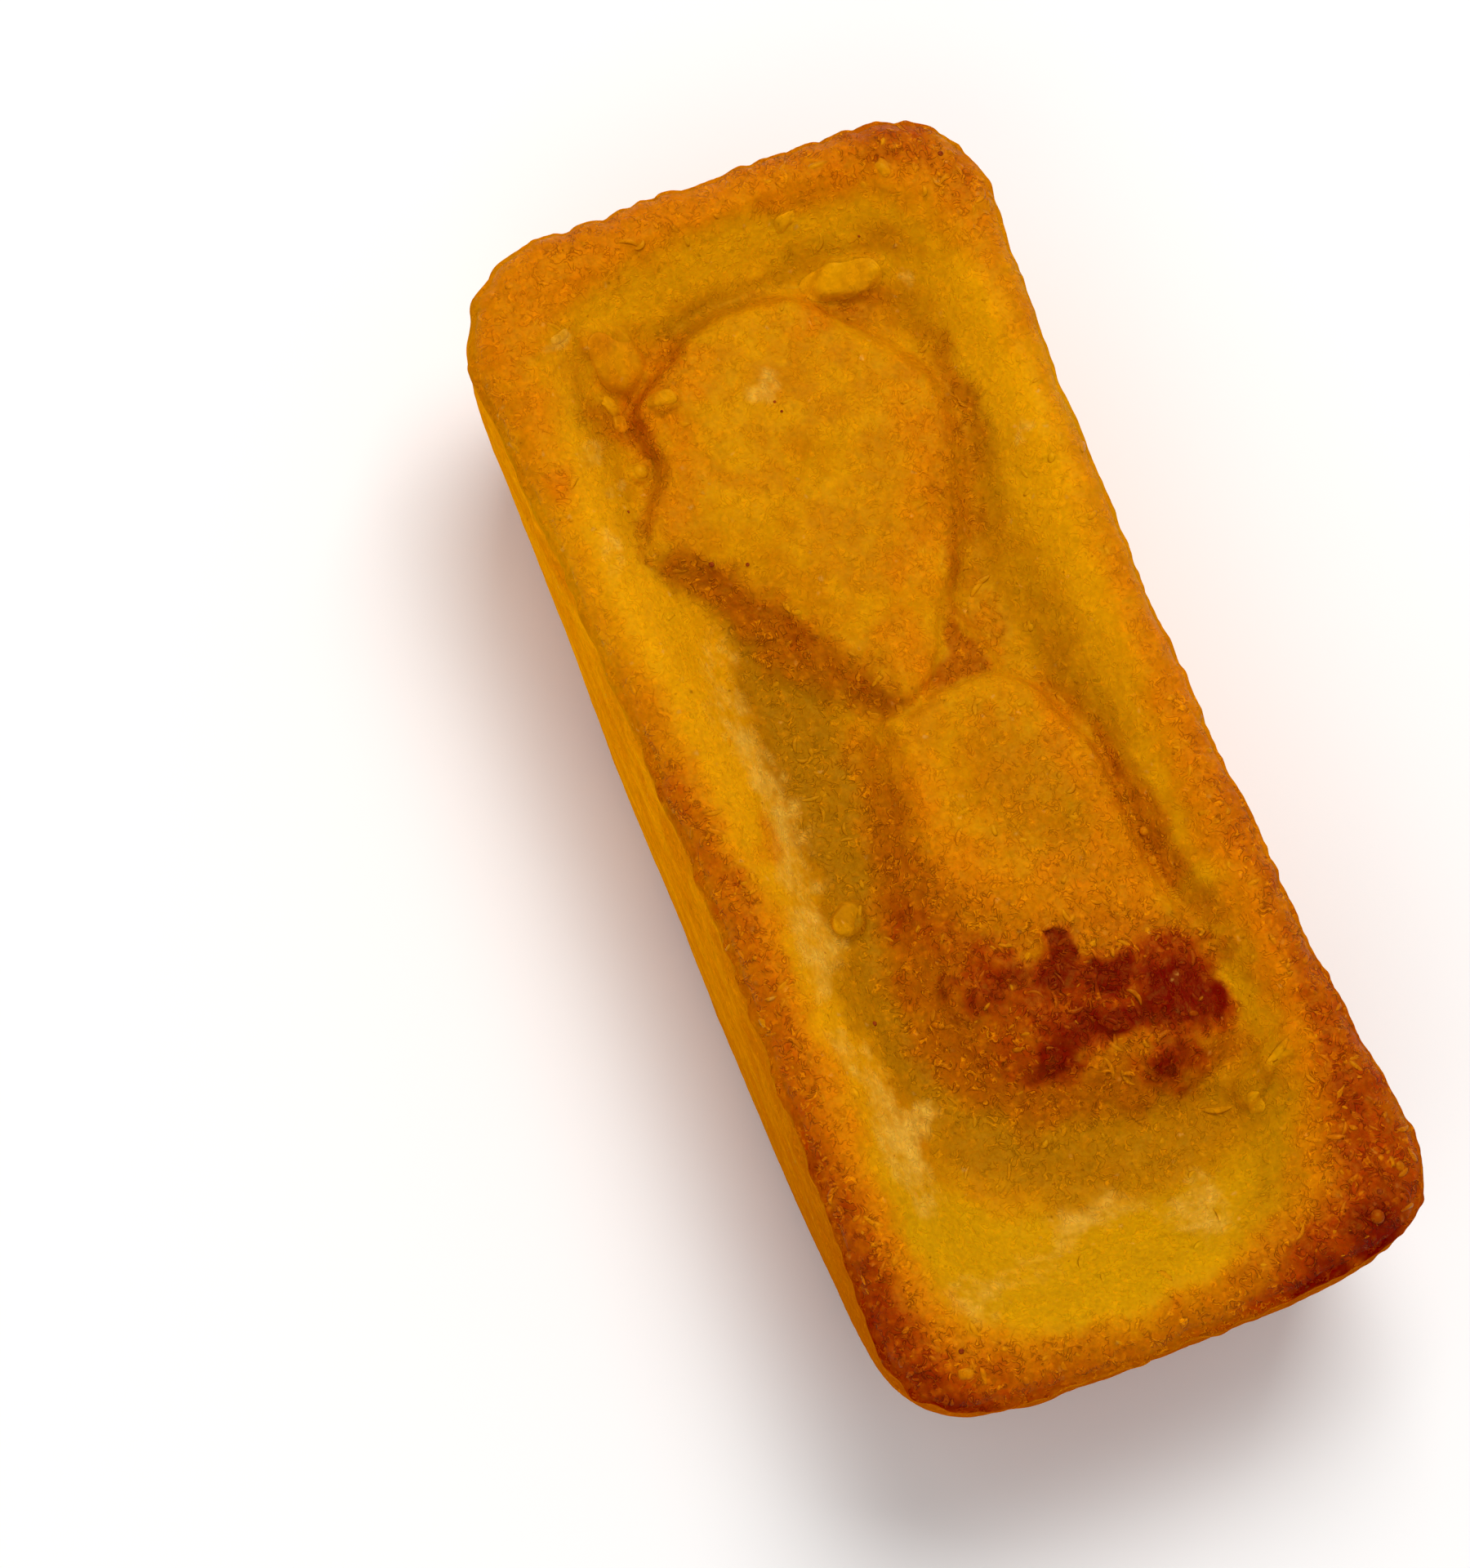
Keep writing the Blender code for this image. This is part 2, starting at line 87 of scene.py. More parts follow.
# The floor of the recess between the two puffed lumps, and the lumps. Each has a level at its
# middle, a tilt along x and y, and a crown. An outline point is x, y, the width of the edge
# below it, and how soft that edge is: 0 is a crisp lip, 1 an even slope.
RECESS = {
    "level": 22.0,
    "middle": (-6.5, 4.5),
    "tilt": (0.0, 0.0),
    "crown": 0.0,
    "outline": [
        (-13.0, 4.8, 1.6, 0.7), (-11.0, 1.0, 1.6, 0.7), (-5.0, -1.4, 1.6, 0.7),
        (-1.0, 3.0, 1.6, 0.7), (-3.4, 7.6, 1.2, 0.7), (-9.4, 6.6, 1.2, 0.7),
    ],
}
LEFT_LUMP = {
    "level": 23.2,
    "middle": (-22.0, 0.0),
    "tilt": (0.0, -0.045),
    "crown": 0.9,
    "outline": [
        (-40.6, 4.0, 2.0, 0.7), (-41.0, -3.0, 1.8, 0.5), (-38.8, -7.2, 1.8, 0.4),
        (-35.4, -11.4, 1.4, 0.0), (-31.2, -11.4, 1.8, 0.5), (-28.0, -13.2, 1.8, 0.4),
        (-23.8, -14.9, 2.0, 0.0), (-22.2, -11.9, 3.6, 0.0), (-14.8, -6.4, 4.6, 0.1),
        (-5.6, -0.9, 3.2, 0.0), (-6.0, 1.2, 1.2, 0.0), (-8.2, 3.2, 0.8, 0.0),
        (-11.3, 5.0, 1.4, 0.4), (-17.0, 9.2, 3.6, 1.0), (-24.6, 12.8, 3.2, 1.0),
        (-31.2, 12.2, 2.4, 0.8), (-36.6, 7.6, 2.2, 0.6),
    ],
}
RIGHT_LUMP = {
    "level": 23.2,
    "middle": (14.0, 4.0),
    "tilt": (-0.01, 0.02),
    "crown": 1.3,
    "outline": [
        (-4.6, 3.2, 0.7, 0.0), (-4.6, -1.6, 1.6, 0.3), (-2.0, -3.6, 4.0, 1.0),
        (5.0, -5.2, 5.0, 1.0), (12.8, -7.6, 5.2, 1.0), (20.0, -8.2, 5.2, 1.0),
        (26.4, -6.2, 5.6, 1.0), (30.4, -0.8, 5.4, 1.0), (32.4, 7.2, 4.4, 1.0),
        (30.4, 13.2, 3.4, 1.0), (22.8, 14.4, 2.6, 0.8), (14.8, 12.4, 1.6, 0.3),
        (7.0, 12.2, 1.2, 0.1), (1.0, 11.1, 1.6, 0.4), (-3.6, 8.2, 1.2, 0.2),
    ],
}

# Ridges and furrows that run along a line: its points, width and height
LINES = [
    ([(-18.6, 9.6), (-16.2, 8.4), (-13.6, 6.8)], 1.2, 0.5),
    ([(-15.7, 8.1), (-12.5, 6.8), (-10.2, 6.4), (-7.6, 7.4), (-5.2, 8.2)], 1.2, 0.7),
    ([(-4.8, 1.4), (-4.3, -0.6), (-5.4, -3.4)], 1.1, -0.7),
    ([(1.6, 12.9), (8.0, 12.7), (14.0, 12.9), (19.4, 13.9)], 1.2, -0.5),
    ([(5.0, 14.6), (12.0, 14.9), (20.0, 15.4)], 1.8, 0.5),
    ([(31.4, 8.0), (33.6, 11.6), (33.2, 15.4), (31.2, 18.4)], 1.5, 0.6),
    ([(34.8, 8.4), (35.6, 12.0), (33.8, 16.4)], 1.3, 0.4),
    ([(-39.4, -8.6), (-36.6, -11.8), (-34.0, -12.8)], 1.4, -0.4),
]

# Flakes, crumbs and blisters: x, y, half length, half width, turn in degrees, height
SPOTS = [
    (-41.0, 9.3, 3.1, 1.7, 82, 0.9),
    (-40.9, -11.4, 2.8, 2.4, 20, 0.9),
    (-35.5, -9.5, 1.3, 1.0, 80, 0.7),
    (-31.2, -13.0, 1.2, 1.0, 0, 0.8),
    (9.9, -11.6, 1.9, 1.4, -30, 0.9),
    (20.0, -5.8, 2.2, 1.4, 25, 0.5),
    (25.4, 4.6, 1.6, 1.3, 0, 0.5),
    (24.6, 8.6, 1.8, 1.2, -20, 0.4),
    (31.0, 7.2, 1.8, 1.4, 15, 0.5),
    (34.6, 13.2, 1.9, 1.1, -60, 0.7),
    (33.0, 15.6, 2.4, 1.1, -55, 0.6),
    (47.4, -17.6, 1.2, 1.0, 0, 0.4),
    (48.6, 17.4, 1.3, 1.1, 0, 0.5),
    (-46.6, 14.6, 1.6, 1.0, 20, 0.4),
]

# How the relief is shaped: how far in a lump's crown rises, how steeply its lip drops, how
# softly it meets the slope behind it, and how wide the flank of a flake is
CROWN_REACH = 9.0
LIP_POWER = 1.6
LIP_MIN_WIDTH = 0.5
LUMP_BLEND = 0.2
FLANK = (1.2, 0.8)
LINE_FADE = 0.25
LIMIT_BLEND = 0.03

# Unevenness of the baked surface. Each kind has a bump size, a depth and a random seed.
TOP_ROLL = (9.0, 0.35, 11)
TOP_CRAG = (3.6, 0.3, 12)
RUFFLE = (1.7, 0.35, 31)
LUMP_ROLL = (6.0, 0.4, 32)
EDGE_WOBBLE = (4.2, 0.32, 21)
WALL_WOBBLE = (13.0, 0.3, 22)
FINE_WOBBLE = (1.5, 0.22, 23)
SCALLOP_DRIFT = (9.0, 2.4, 24)
NOISE_CELLS = 24

# Where that unevenness lies: less of the roll on the rim, the wobble mostly on the rim's edge,
# and small scallops, a gap apart, on the left end
ROLL_LOST_ON_RIM = 0.6
WOBBLE_DEPTH = 8.0
WOBBLE_RISE = (15.0, 23.0)
SCALLOP_GAP = 2.9
SCALLOP_DEPTH = 0.26
SCALLOP_RISE = (-38.0, -46.0)

# The mesh
GRID_SPACING = 0.25
BASE_INSET = BASE_FILLET + GRID_SPACING
EDGE_STEPS = 8
WALL_STEPS = 26
FILLET_STEPS = 6
CURVE_STEPS = 8


def smooth_step(value):
    """A soft ramp from 0 to 1."""
    value = np.clip(value, 0.0, 1.0)
    return value * value * (3.0 - 2.0 * value)


def soft_between(value, low, high):
    """A soft ramp from 0 at low to 1 at high, which may also be the lower number."""
    return smooth_step((value - low) / (high - low))


def as_points(x, y, z):
    """One list of points from arrays of their x, y and z."""
    return np.stack((x, y, z), axis=-1).reshape(-1, 3)


def keep_below(z, limit):
    """Lets heights near the limit level off just below it."""
    room = limit - z
    return limit - 0.5 * (room + np.sqrt(room ** 2 + LIMIT_BLEND))


def soft_noise(x, y, z, size, seed):
    """Smooth noise between -1 and 1 whose bumps are about `size` across."""
    table = np.random.default_rng(seed).uniform(-1.0, 1.0, (NOISE_CELLS,) * 3)
    place = np.stack((x, y, z)) / size
    cell = np.floor(place).astype(int)
    share = smooth_step(place - cell)
    total = np.zeros(np.shape(x))
    for corner in itertools.product((0, 1), repeat=3):
        weight = np.ones(np.shape(x))
        for axis, step in enumerate(corner):
            weight = weight * (share[axis] if step else 1.0 - share[axis])
        index = [(cell[axis] + step) % NOISE_CELLS for axis, step in enumerate(corner)]
        total = total + weight * table[index[0], index[1], index[2]]
    return total


def uneven(x, y, z, kind):
    """Smooth noise of a kind that a bump size, a depth and a seed describe."""
    size, depth, seed = kind
    return depth * soft_noise(x, y, z, size, seed)


def grain_noise(x, y, z):
    """Rounded grains in the crumb: 1 at a grain's middle, 0 between grains."""
    shifts = np.random.default_rng(GRAIN_SEED).uniform(*GRAIN_SHIFTS, (NOISE_CELLS,) * 3 + (3,))
    place = np.stack((x, y, z), axis=-1) / GRAIN_SIZE
    cell = np.floor(place).astype(int)
    nearest = np.full(np.shape(x), np.inf)
    for step in itertools.product((-1, 0, 1), repeat=3):
        other = cell + np.array(step)
        index = other % NOISE_CELLS
        middle = other + shifts[index[..., 0], index[..., 1], index[..., 2]]
        nearest = np.minimum(nearest, np.linalg.norm(place - middle, axis=-1))
    return 1.0 - smooth_step(nearest / GRAIN_REACH)


def rounded_box_distance(x, y, low, high, radius):
    """Distance outside a rectangle with round corners, negative inside it."""
    across_x = np.abs(x - (low[0] + high[0]) / 2) - (high[0] - low[0]) / 2 + radius
    across_y = np.abs(y - (low[1] + high[1]) / 2) - (high[1] - low[1]) / 2 + radius
    outside = np.hypot(np.maximum(across_x, 0.0), np.maximum(across_y, 0.0))
    return outside + np.minimum(np.maximum(across_x, across_y), 0.0) - radius


def press_corners(a, b, half_a, half_b, radius):
    """Presses a rectangle's square corners onto round ones, ring by ring."""
    past_a = np.abs(a) - (half_a - radius)
    past_b = np.abs(b) - (half_b - radius)
    reach = np.maximum(np.maximum(past_a, past_b), TINY)
    ratio = np.clip(np.minimum(past_a, past_b) / reach, 0.0, 1.0)
    turn = np.where(past_a >= past_b, ratio, 2.0 - ratio) * math.pi / 4
    in_corner = (past_a > 0.0) & (past_b > 0.0)
    round_a = np.sign(a) * (half_a - radius + reach * np.cos(turn))
    round_b = np.sign(b) * (half_b - radius + reach * np.sin(turn))
    return np.where(in_corner, round_a, a), np.where(in_corner, round_b, b)


def round_rim(a, b):
    """Presses the rim's square corners onto its round ones, each with its own radius."""
    radius = np.zeros(np.shape(a))
    for (side_a, side_b), size in RIM_CORNERS.items():
        radius = np.where((np.sign(a) == side_a) & (np.sign(b) == side_b), size, radius)
    return press_corners(a, b, RIM_HALF_LENGTH, RIM_HALF_WIDTH, radius)


def rim_plan(a, b):
    """Plan position on the top: bulging ends, and long sides drawn in at mid length."""
    along = np.clip(1.0 - (a / RIM_HALF_LENGTH) ** 2, 0.0, 1.0)
    across = np.clip(1.0 - (b / RIM_HALF_WIDTH) ** 2, 0.0, 1.0)
    bulge = np.where(a > 0.0, RIGHT_BULGE, LEFT_BULGE)
    waist = np.where(b > 0.0, BACK_WAIST, FRONT_WAIST)
    x = a + bulge * across * a / RIM_HALF_LENGTH - RIM_SHIFT
    y = b - waist * along * b / RIM_HALF_WIDTH
    return x, y


def base_plan(a, b, inset):
    """Plan position on the base, drawn in by the inset: its long sides swell a little and it
    sits slightly askew below the rim."""
    half_length = BASE_HALF_LENGTH - inset
    half_width = BASE_HALF_WIDTH - inset
    scaled_a = a * half_length / RIM_HALF_LENGTH
    scaled_b = b * half_width / RIM_HALF_WIDTH
    x, y = press_corners(scaled_a, scaled_b, half_length, half_width, BASE_CORNER - inset)
    swell = BASE_SWELL * (1.0 - (x / half_length) ** 2) * y / half_width
    return x - BASE_SHIFT, y + swell - BASE_SKEW * x / half_length


def closed_curve(points):
    """A smooth closed curve through the points, with their extra columns carried along."""
    points = np.array(points)
    before = np.roll(points, 1, axis=0)
    after = np.roll(points, -1, axis=0)
    later = np.roll(points, -2, axis=0)
    curve = []
    for step in np.arange(CURVE_STEPS) / CURVE_STEPS:
        curve.append(0.5 * (2.0 * points + (after - before) * step
                            + (2.0 * before - 5.0 * points + 4.0 * after - later) * step ** 2
                            + (3.0 * points - before - 3.0 * after + later) * step ** 3))
    return np.stack(curve, axis=1).reshape(-1, points.shape[1])


def nearest_on_path(x, y, path, closed):
    """Distance to a path, and the path's extra columns at the nearest place."""
    starts = path if closed else path[:-1]
    ends = np.roll(path, -1, axis=0) if closed else path[1:]
    best = np.full(np.shape(x), np.inf)
    columns = [np.zeros(np.shape(x)) for _ in range(path.shape[1] - 2)]
    for start, end in zip(starts, ends):
        run_x, run_y = end[:2] - start[:2]
        share = ((x - start[0]) * run_x + (y - start[1]) * run_y) / (run_x ** 2 + run_y ** 2)
        share = np.clip(share, 0.0, 1.0)
        distance = np.hypot(x - start[0] - share * run_x, y - start[1] - share * run_y)
        closer = distance < best
        best = np.where(closer, distance, best)
        for index, column in enumerate(columns):
            value = start[index + 2] + share * (end[index + 2] - start[index + 2])
            columns[index] = np.where(closer, value, column)
    return best, columns


def inside_outline(x, y, path):
    """Whether each point lies inside a closed path, by counting the edges crossed."""
    inside = np.zeros(np.shape(x), dtype=bool)
    for start, end in zip(path, np.roll(path, -1, axis=0)):
        spans = (start[1] > y) != (end[1] > y)
        rise = end[1] - start[1]
        crossing = start[0] + (y - start[1]) * (end[0] - start[0]) / (rise if rise else TINY)
        inside ^= spans & (x < crossing)
    return inside


def lump_edge(x, y, lump):
    """Signed distance to the lump's outline, with its edge's width and softness there."""
    path = closed_curve(lump["outline"])
    distance, (width, softness) = nearest_on_path(x, y, path, closed=True)
    distance = np.where(inside_outline(x, y, path), -distance, distance)
    return distance, np.maximum(width, LIP_MIN_WIDTH), np.clip(softness, 0.0, 1.0)


def add_lump(x, y, z, lump, ruffle, roll):
    """Lifts the surface to the lump's own uneven level, where that is higher."""
    distance, width, softness = lump_edge(x, y, lump)
    distance = distance + ruffle * (1.0 - softness)
    lip = np.clip(1.0 - distance / width, 0.0, 1.0) ** LIP_POWER
    slope = smooth_step(0.5 - distance / width)
    cover = lip * (1.0 - softness) + slope * softness
    crown = 1.0 - (1.0 - np.clip(-distance / CROWN_REACH, 0.0, 1.0)) ** 2
    level = lump["level"] + lump["tilt"][0] * (x - lump["middle"][0])
    level = level + lump["tilt"][1] * (y - lump["middle"][1])
    lift = level + roll + lump["crown"] * crown - z
    lift = 0.5 * (lift + np.sqrt(lift ** 2 + LUMP_BLEND))
    return z + cover * lift


def line_relief(x, y, points, width, height):
    """A rounded ridge, or a furrow where the height is negative, that fades at its ends."""
    path = np.column_stack((points, np.linspace(0.0, 1.0, len(points))))
    distance, (share,) = nearest_on_path(x, y, path, closed=False)
    fade = smooth_step((np.minimum(share, 1.0 - share) + LINE_FADE / 4) / LINE_FADE)
    return height * fade * smooth_step(1.0 - distance / width)


def spot_relief(x, y, centre_x, centre_y, half_length, half_width, turn, height):
    """A low flat-topped mound."""
    angle = math.radians(turn)
    along = (x - centre_x) * math.cos(angle) + (y - centre_y) * math.sin(angle)
    across = (y - centre_y) * math.cos(angle) - (x - centre_x) * math.sin(angle)
    reach = np.hypot(along / half_length, across / half_width)
    return height * soft_between(reach, *FLANK)


def top_height(a, b, x, y):
    """Height of the top surface: rim, slopes, floor, lumps and the smaller relief."""
    edge = np.minimum(RIM_HALF_LENGTH - np.abs(a), RIM_HALF_WIDTH - np.abs(b))
    round_a, round_b = round_rim(a, b)
    crest_a = RIM_HALF_LENGTH - CREST_INSET
    crest_b = RIM_HALF_WIDTH - CREST_INSET
    to_crest = -rounded_box_distance(round_a, round_b, (-crest_a, -crest_b),
                                     (crest_a, crest_b), CREST_CORNER)
    to_floor = rounded_box_distance(round_a, round_b, (FLOOR_LEFT, FLOOR_FRONT),
                                    (FLOOR_RIGHT, FLOOR_BACK), FLOOR_CORNER)
    to_crest = np.maximum(to_crest, 0.0)
    to_floor = np.maximum(to_floor, 0.0)
    rise = smooth_step(to_floor / np.maximum(to_floor + to_crest, TINY))
    z = FLOOR_Z + (HEIGHT - FLOOR_Z) * rise
    z = z + uneven(x, y, 0.0 * x, TOP_ROLL) * (1.0 - ROLL_LOST_ON_RIM * rise)
    ruffle = uneven(x, y, 0.0 * x, RUFFLE)
    lump_roll = uneven(x, y, 0.0 * x, LUMP_ROLL)
    for lump in (RECESS, LEFT_LUMP, RIGHT_LUMP):
        z = add_lump(x, y, z, lump, ruffle, lump_roll)
    for points, width, height in LINES:
        z = z + line_relief(x + ruffle, y - ruffle, points, width, height)
    for spot in SPOTS:
        z = z + spot_relief(x + ruffle, y + ruffle, *spot)
    z = z + uneven(x, y, z, TOP_CRAG) * smooth_step(edge / EDGE_WIDTH)
    roundness = np.clip(1.0 - edge / EDGE_WIDTH, 0.0, 1.0)
    return keep_below(z, HEIGHT) - EDGE_DROP * (1.0 - np.sqrt(1.0 - roundness ** 2))


def grid_lines(half):
    """An even number of grid lines' gaps from -half to +half, closer along the rim's edge."""
    turns = np.arange(EDGE_STEPS) / EDGE_STEPS * math.pi / 2
    edge = half - EDGE_WIDTH * (1.0 - np.cos(turns))
    middle_gaps = 2 * round((half - EDGE_WIDTH) / GRID_SPACING)
    middle = np.linspace(EDGE_WIDTH - half, half - EDGE_WIDTH, middle_gaps + 1)
    return np.concatenate((-edge, middle, edge[::-1]))


def edge_walk(columns, rows):
    """Grid places round the outside, anticlockwise from above."""
    walk = [(i, 0) for i in range(columns)]
    walk += [(columns, j) for j in range(rows)]
    walk += [(i, rows) for i in range(columns, 0, -1)]
    walk += [(0, j) for j in range(rows, 0, -1)]
    return walk


def rim_place(x, y):
    """The direction outwards, as on a square cake, and the distance outside the rim's box."""
    angle = np.arctan2(y * RIM_HALF_LENGTH / RIM_HALF_WIDTH, x)
    outer = rounded_box_distance(x, y, (-RIM_HALF_LENGTH, -RIM_HALF_WIDTH),
                                 (RIM_HALF_LENGTH, RIM_HALF_WIDTH), CREST_CORNER)
    return np.cos(angle), np.sin(angle), outer


def wobble(x, y, z):
    """Pushes points in or out, most on the rim's edge, as a baked edge is never straight."""
    out_x, out_y, outer = rim_place(x, y)
    near_rim = soft_between(z, *WOBBLE_RISE)
    push = near_rim * (uneven(x, y, z, EDGE_WOBBLE) + uneven(x, y, z, FINE_WOBBLE))
    push = push + uneven(x, y, z, WALL_WOBBLE)
    scallops = np.abs(np.sin(np.pi * y / SCALLOP_GAP + uneven(x, y, z, SCALLOP_DRIFT)))
    push = push + SCALLOP_DEPTH * near_rim * soft_between(x, *SCALLOP_RISE) * (scallops - 1.0)
    push = push * smooth_step(1.0 + outer / WOBBLE_DEPTH)
    return x + push * out_x, y + push * out_y


def cake_points(lines_a, lines_b):
    """Points of the top grid, of the rings down the wall, and of the coarser bottom grid."""
    a, b = np.meshgrid(lines_a, lines_b, indexing="ij")
    x, y = rim_plan(*round_rim(a, b))
    z = top_height(a, b, x, y)
    parts = [as_points(*wobble(x, y, z), z)]

    walk = np.array(edge_walk(len(lines_a) - 1, len(lines_b) - 1))
    edge_a = lines_a[walk[:, 0]]
    edge_b = lines_b[walk[:, 1]]
    rim_x, rim_y = rim_plan(*round_rim(edge_a, edge_b))
    base_x, base_y = base_plan(edge_a, edge_b, 0.0)
    rings = []
    for share in np.arange(1, WALL_STEPS + 1) / WALL_STEPS:
        swell = 1.0 + WALL_BARREL * math.sin(math.pi * share) / BASE_HALF_WIDTH
        rings.append(((rim_x + (base_x - rim_x) * share) * swell,
                      (rim_y + (base_y - rim_y) * share) * swell,
                      RIM_Z + (BASE_FILLET - RIM_Z) * share))
    for turn in np.arange(1, FILLET_STEPS + 1) / FILLET_STEPS * math.pi / 2:
        inset = BASE_FILLET * (1.0 - math.cos(turn))
        rings.append((*base_plan(edge_a, edge_b, inset), BASE_FILLET * (1.0 - math.sin(turn))))
    for x, y, height in rings:
        z = np.full(len(walk), height)
        parts.append(as_points(*wobble(x, y, z), z))

    x, y = base_plan(*np.meshgrid(lines_a[::2], lines_b[::2], indexing="ij"), BASE_INSET)
    parts.append(as_points(x, y, 0.0 * x))
    return np.concatenate(parts)


def grid_faces(columns, rows, first, upwards):
    """Faces of a grid whose points are numbered row by row from the first."""
    faces = []
    for i in range(columns):
        for j in range(rows):
            corner = first + i * (rows + 1) + j
            face = (corner, corner + rows + 1, corner + rows + 2, corner + 1)
            faces.append(face if upwards else face[::-1])
    return faces


def cake_faces(columns, rows, wall_rings):
    """Faces that join the top grid, the wall rings and the bottom grid into a closed skin."""
    faces = grid_faces(columns, rows, 0, upwards=True)
    upper = [i * (rows + 1) + j for i, j in edge_walk(columns, rows)]
    first = (columns + 1) * (rows + 1)
    for _ in range(wall_rings):
        lower = list(range(first, first + len(upper)))
        for k in range(len(upper)):
            after = (k + 1) % len(upper)
            faces.append((upper[k], lower[k], lower[after], upper[after]))
        upper = lower
        first += len(upper)
    columns //= 2
    rows //= 2
    coarse = [first + i * (rows + 1) + j for i, j in edge_walk(columns, rows)]
    for k in range(len(coarse)):
        after = (k + 1) % len(coarse)
        middle = upper[2 * k + 1]
        faces.append((upper[2 * k], coarse[k], middle))
        faces.append((middle, coarse[k], coarse[after]))
        faces.append((middle, coarse[after], upper[(2 * k + 2) % len(upper)]))
    return faces + grid_faces(columns, rows, first, upwards=False)


# Browning and moisture, with painted shade and painted light: olive and amber paint are partly painted shade
# in the hollows and under the lumps' lips, cream paint is painted highlight, and yellow paint is partly
# painted light. Each stain is a line of points, u, v, half width and strength, on a plan at rim height seen
# along the camera's slant: what lies a millimetre deeper shows shifted by VIEW_SLANT. Its edge is soft
# between STAIN_EDGE's shares of the half width, and noise bends it along u and v by EDGE_WARPS. Within
# EDGE_PULL's first number of the outline the crust takes its colour from up to its second number further in,
# so the browning runs over the edge. The crust is also more crumbly where its stains have a higher
# CRUMB_WEIGHTS.
VIEW_SLANT = (0.23, -0.20)
STAIN_EDGE = (0.3, 2.1)
SHARPER_EDGES = {"brown": (0.5, 1.9), "char": (0.6, 1.75)}
EDGE_WARPS = (((3.0, 0.8, 41), (1.1, 0.35, 42)), ((3.0, 0.8, 43), (1.1, 0.35, 44)))
EDGE_PULL = (2.5, 1.3)
CRUMB_LEAST = 0.2
CRUMB_WEIGHTS = {"orange": 0.4, "amber_and_shade": 0.45, "brown": 0.6, "olive_and_shade": 0.3, "char": -0.3}
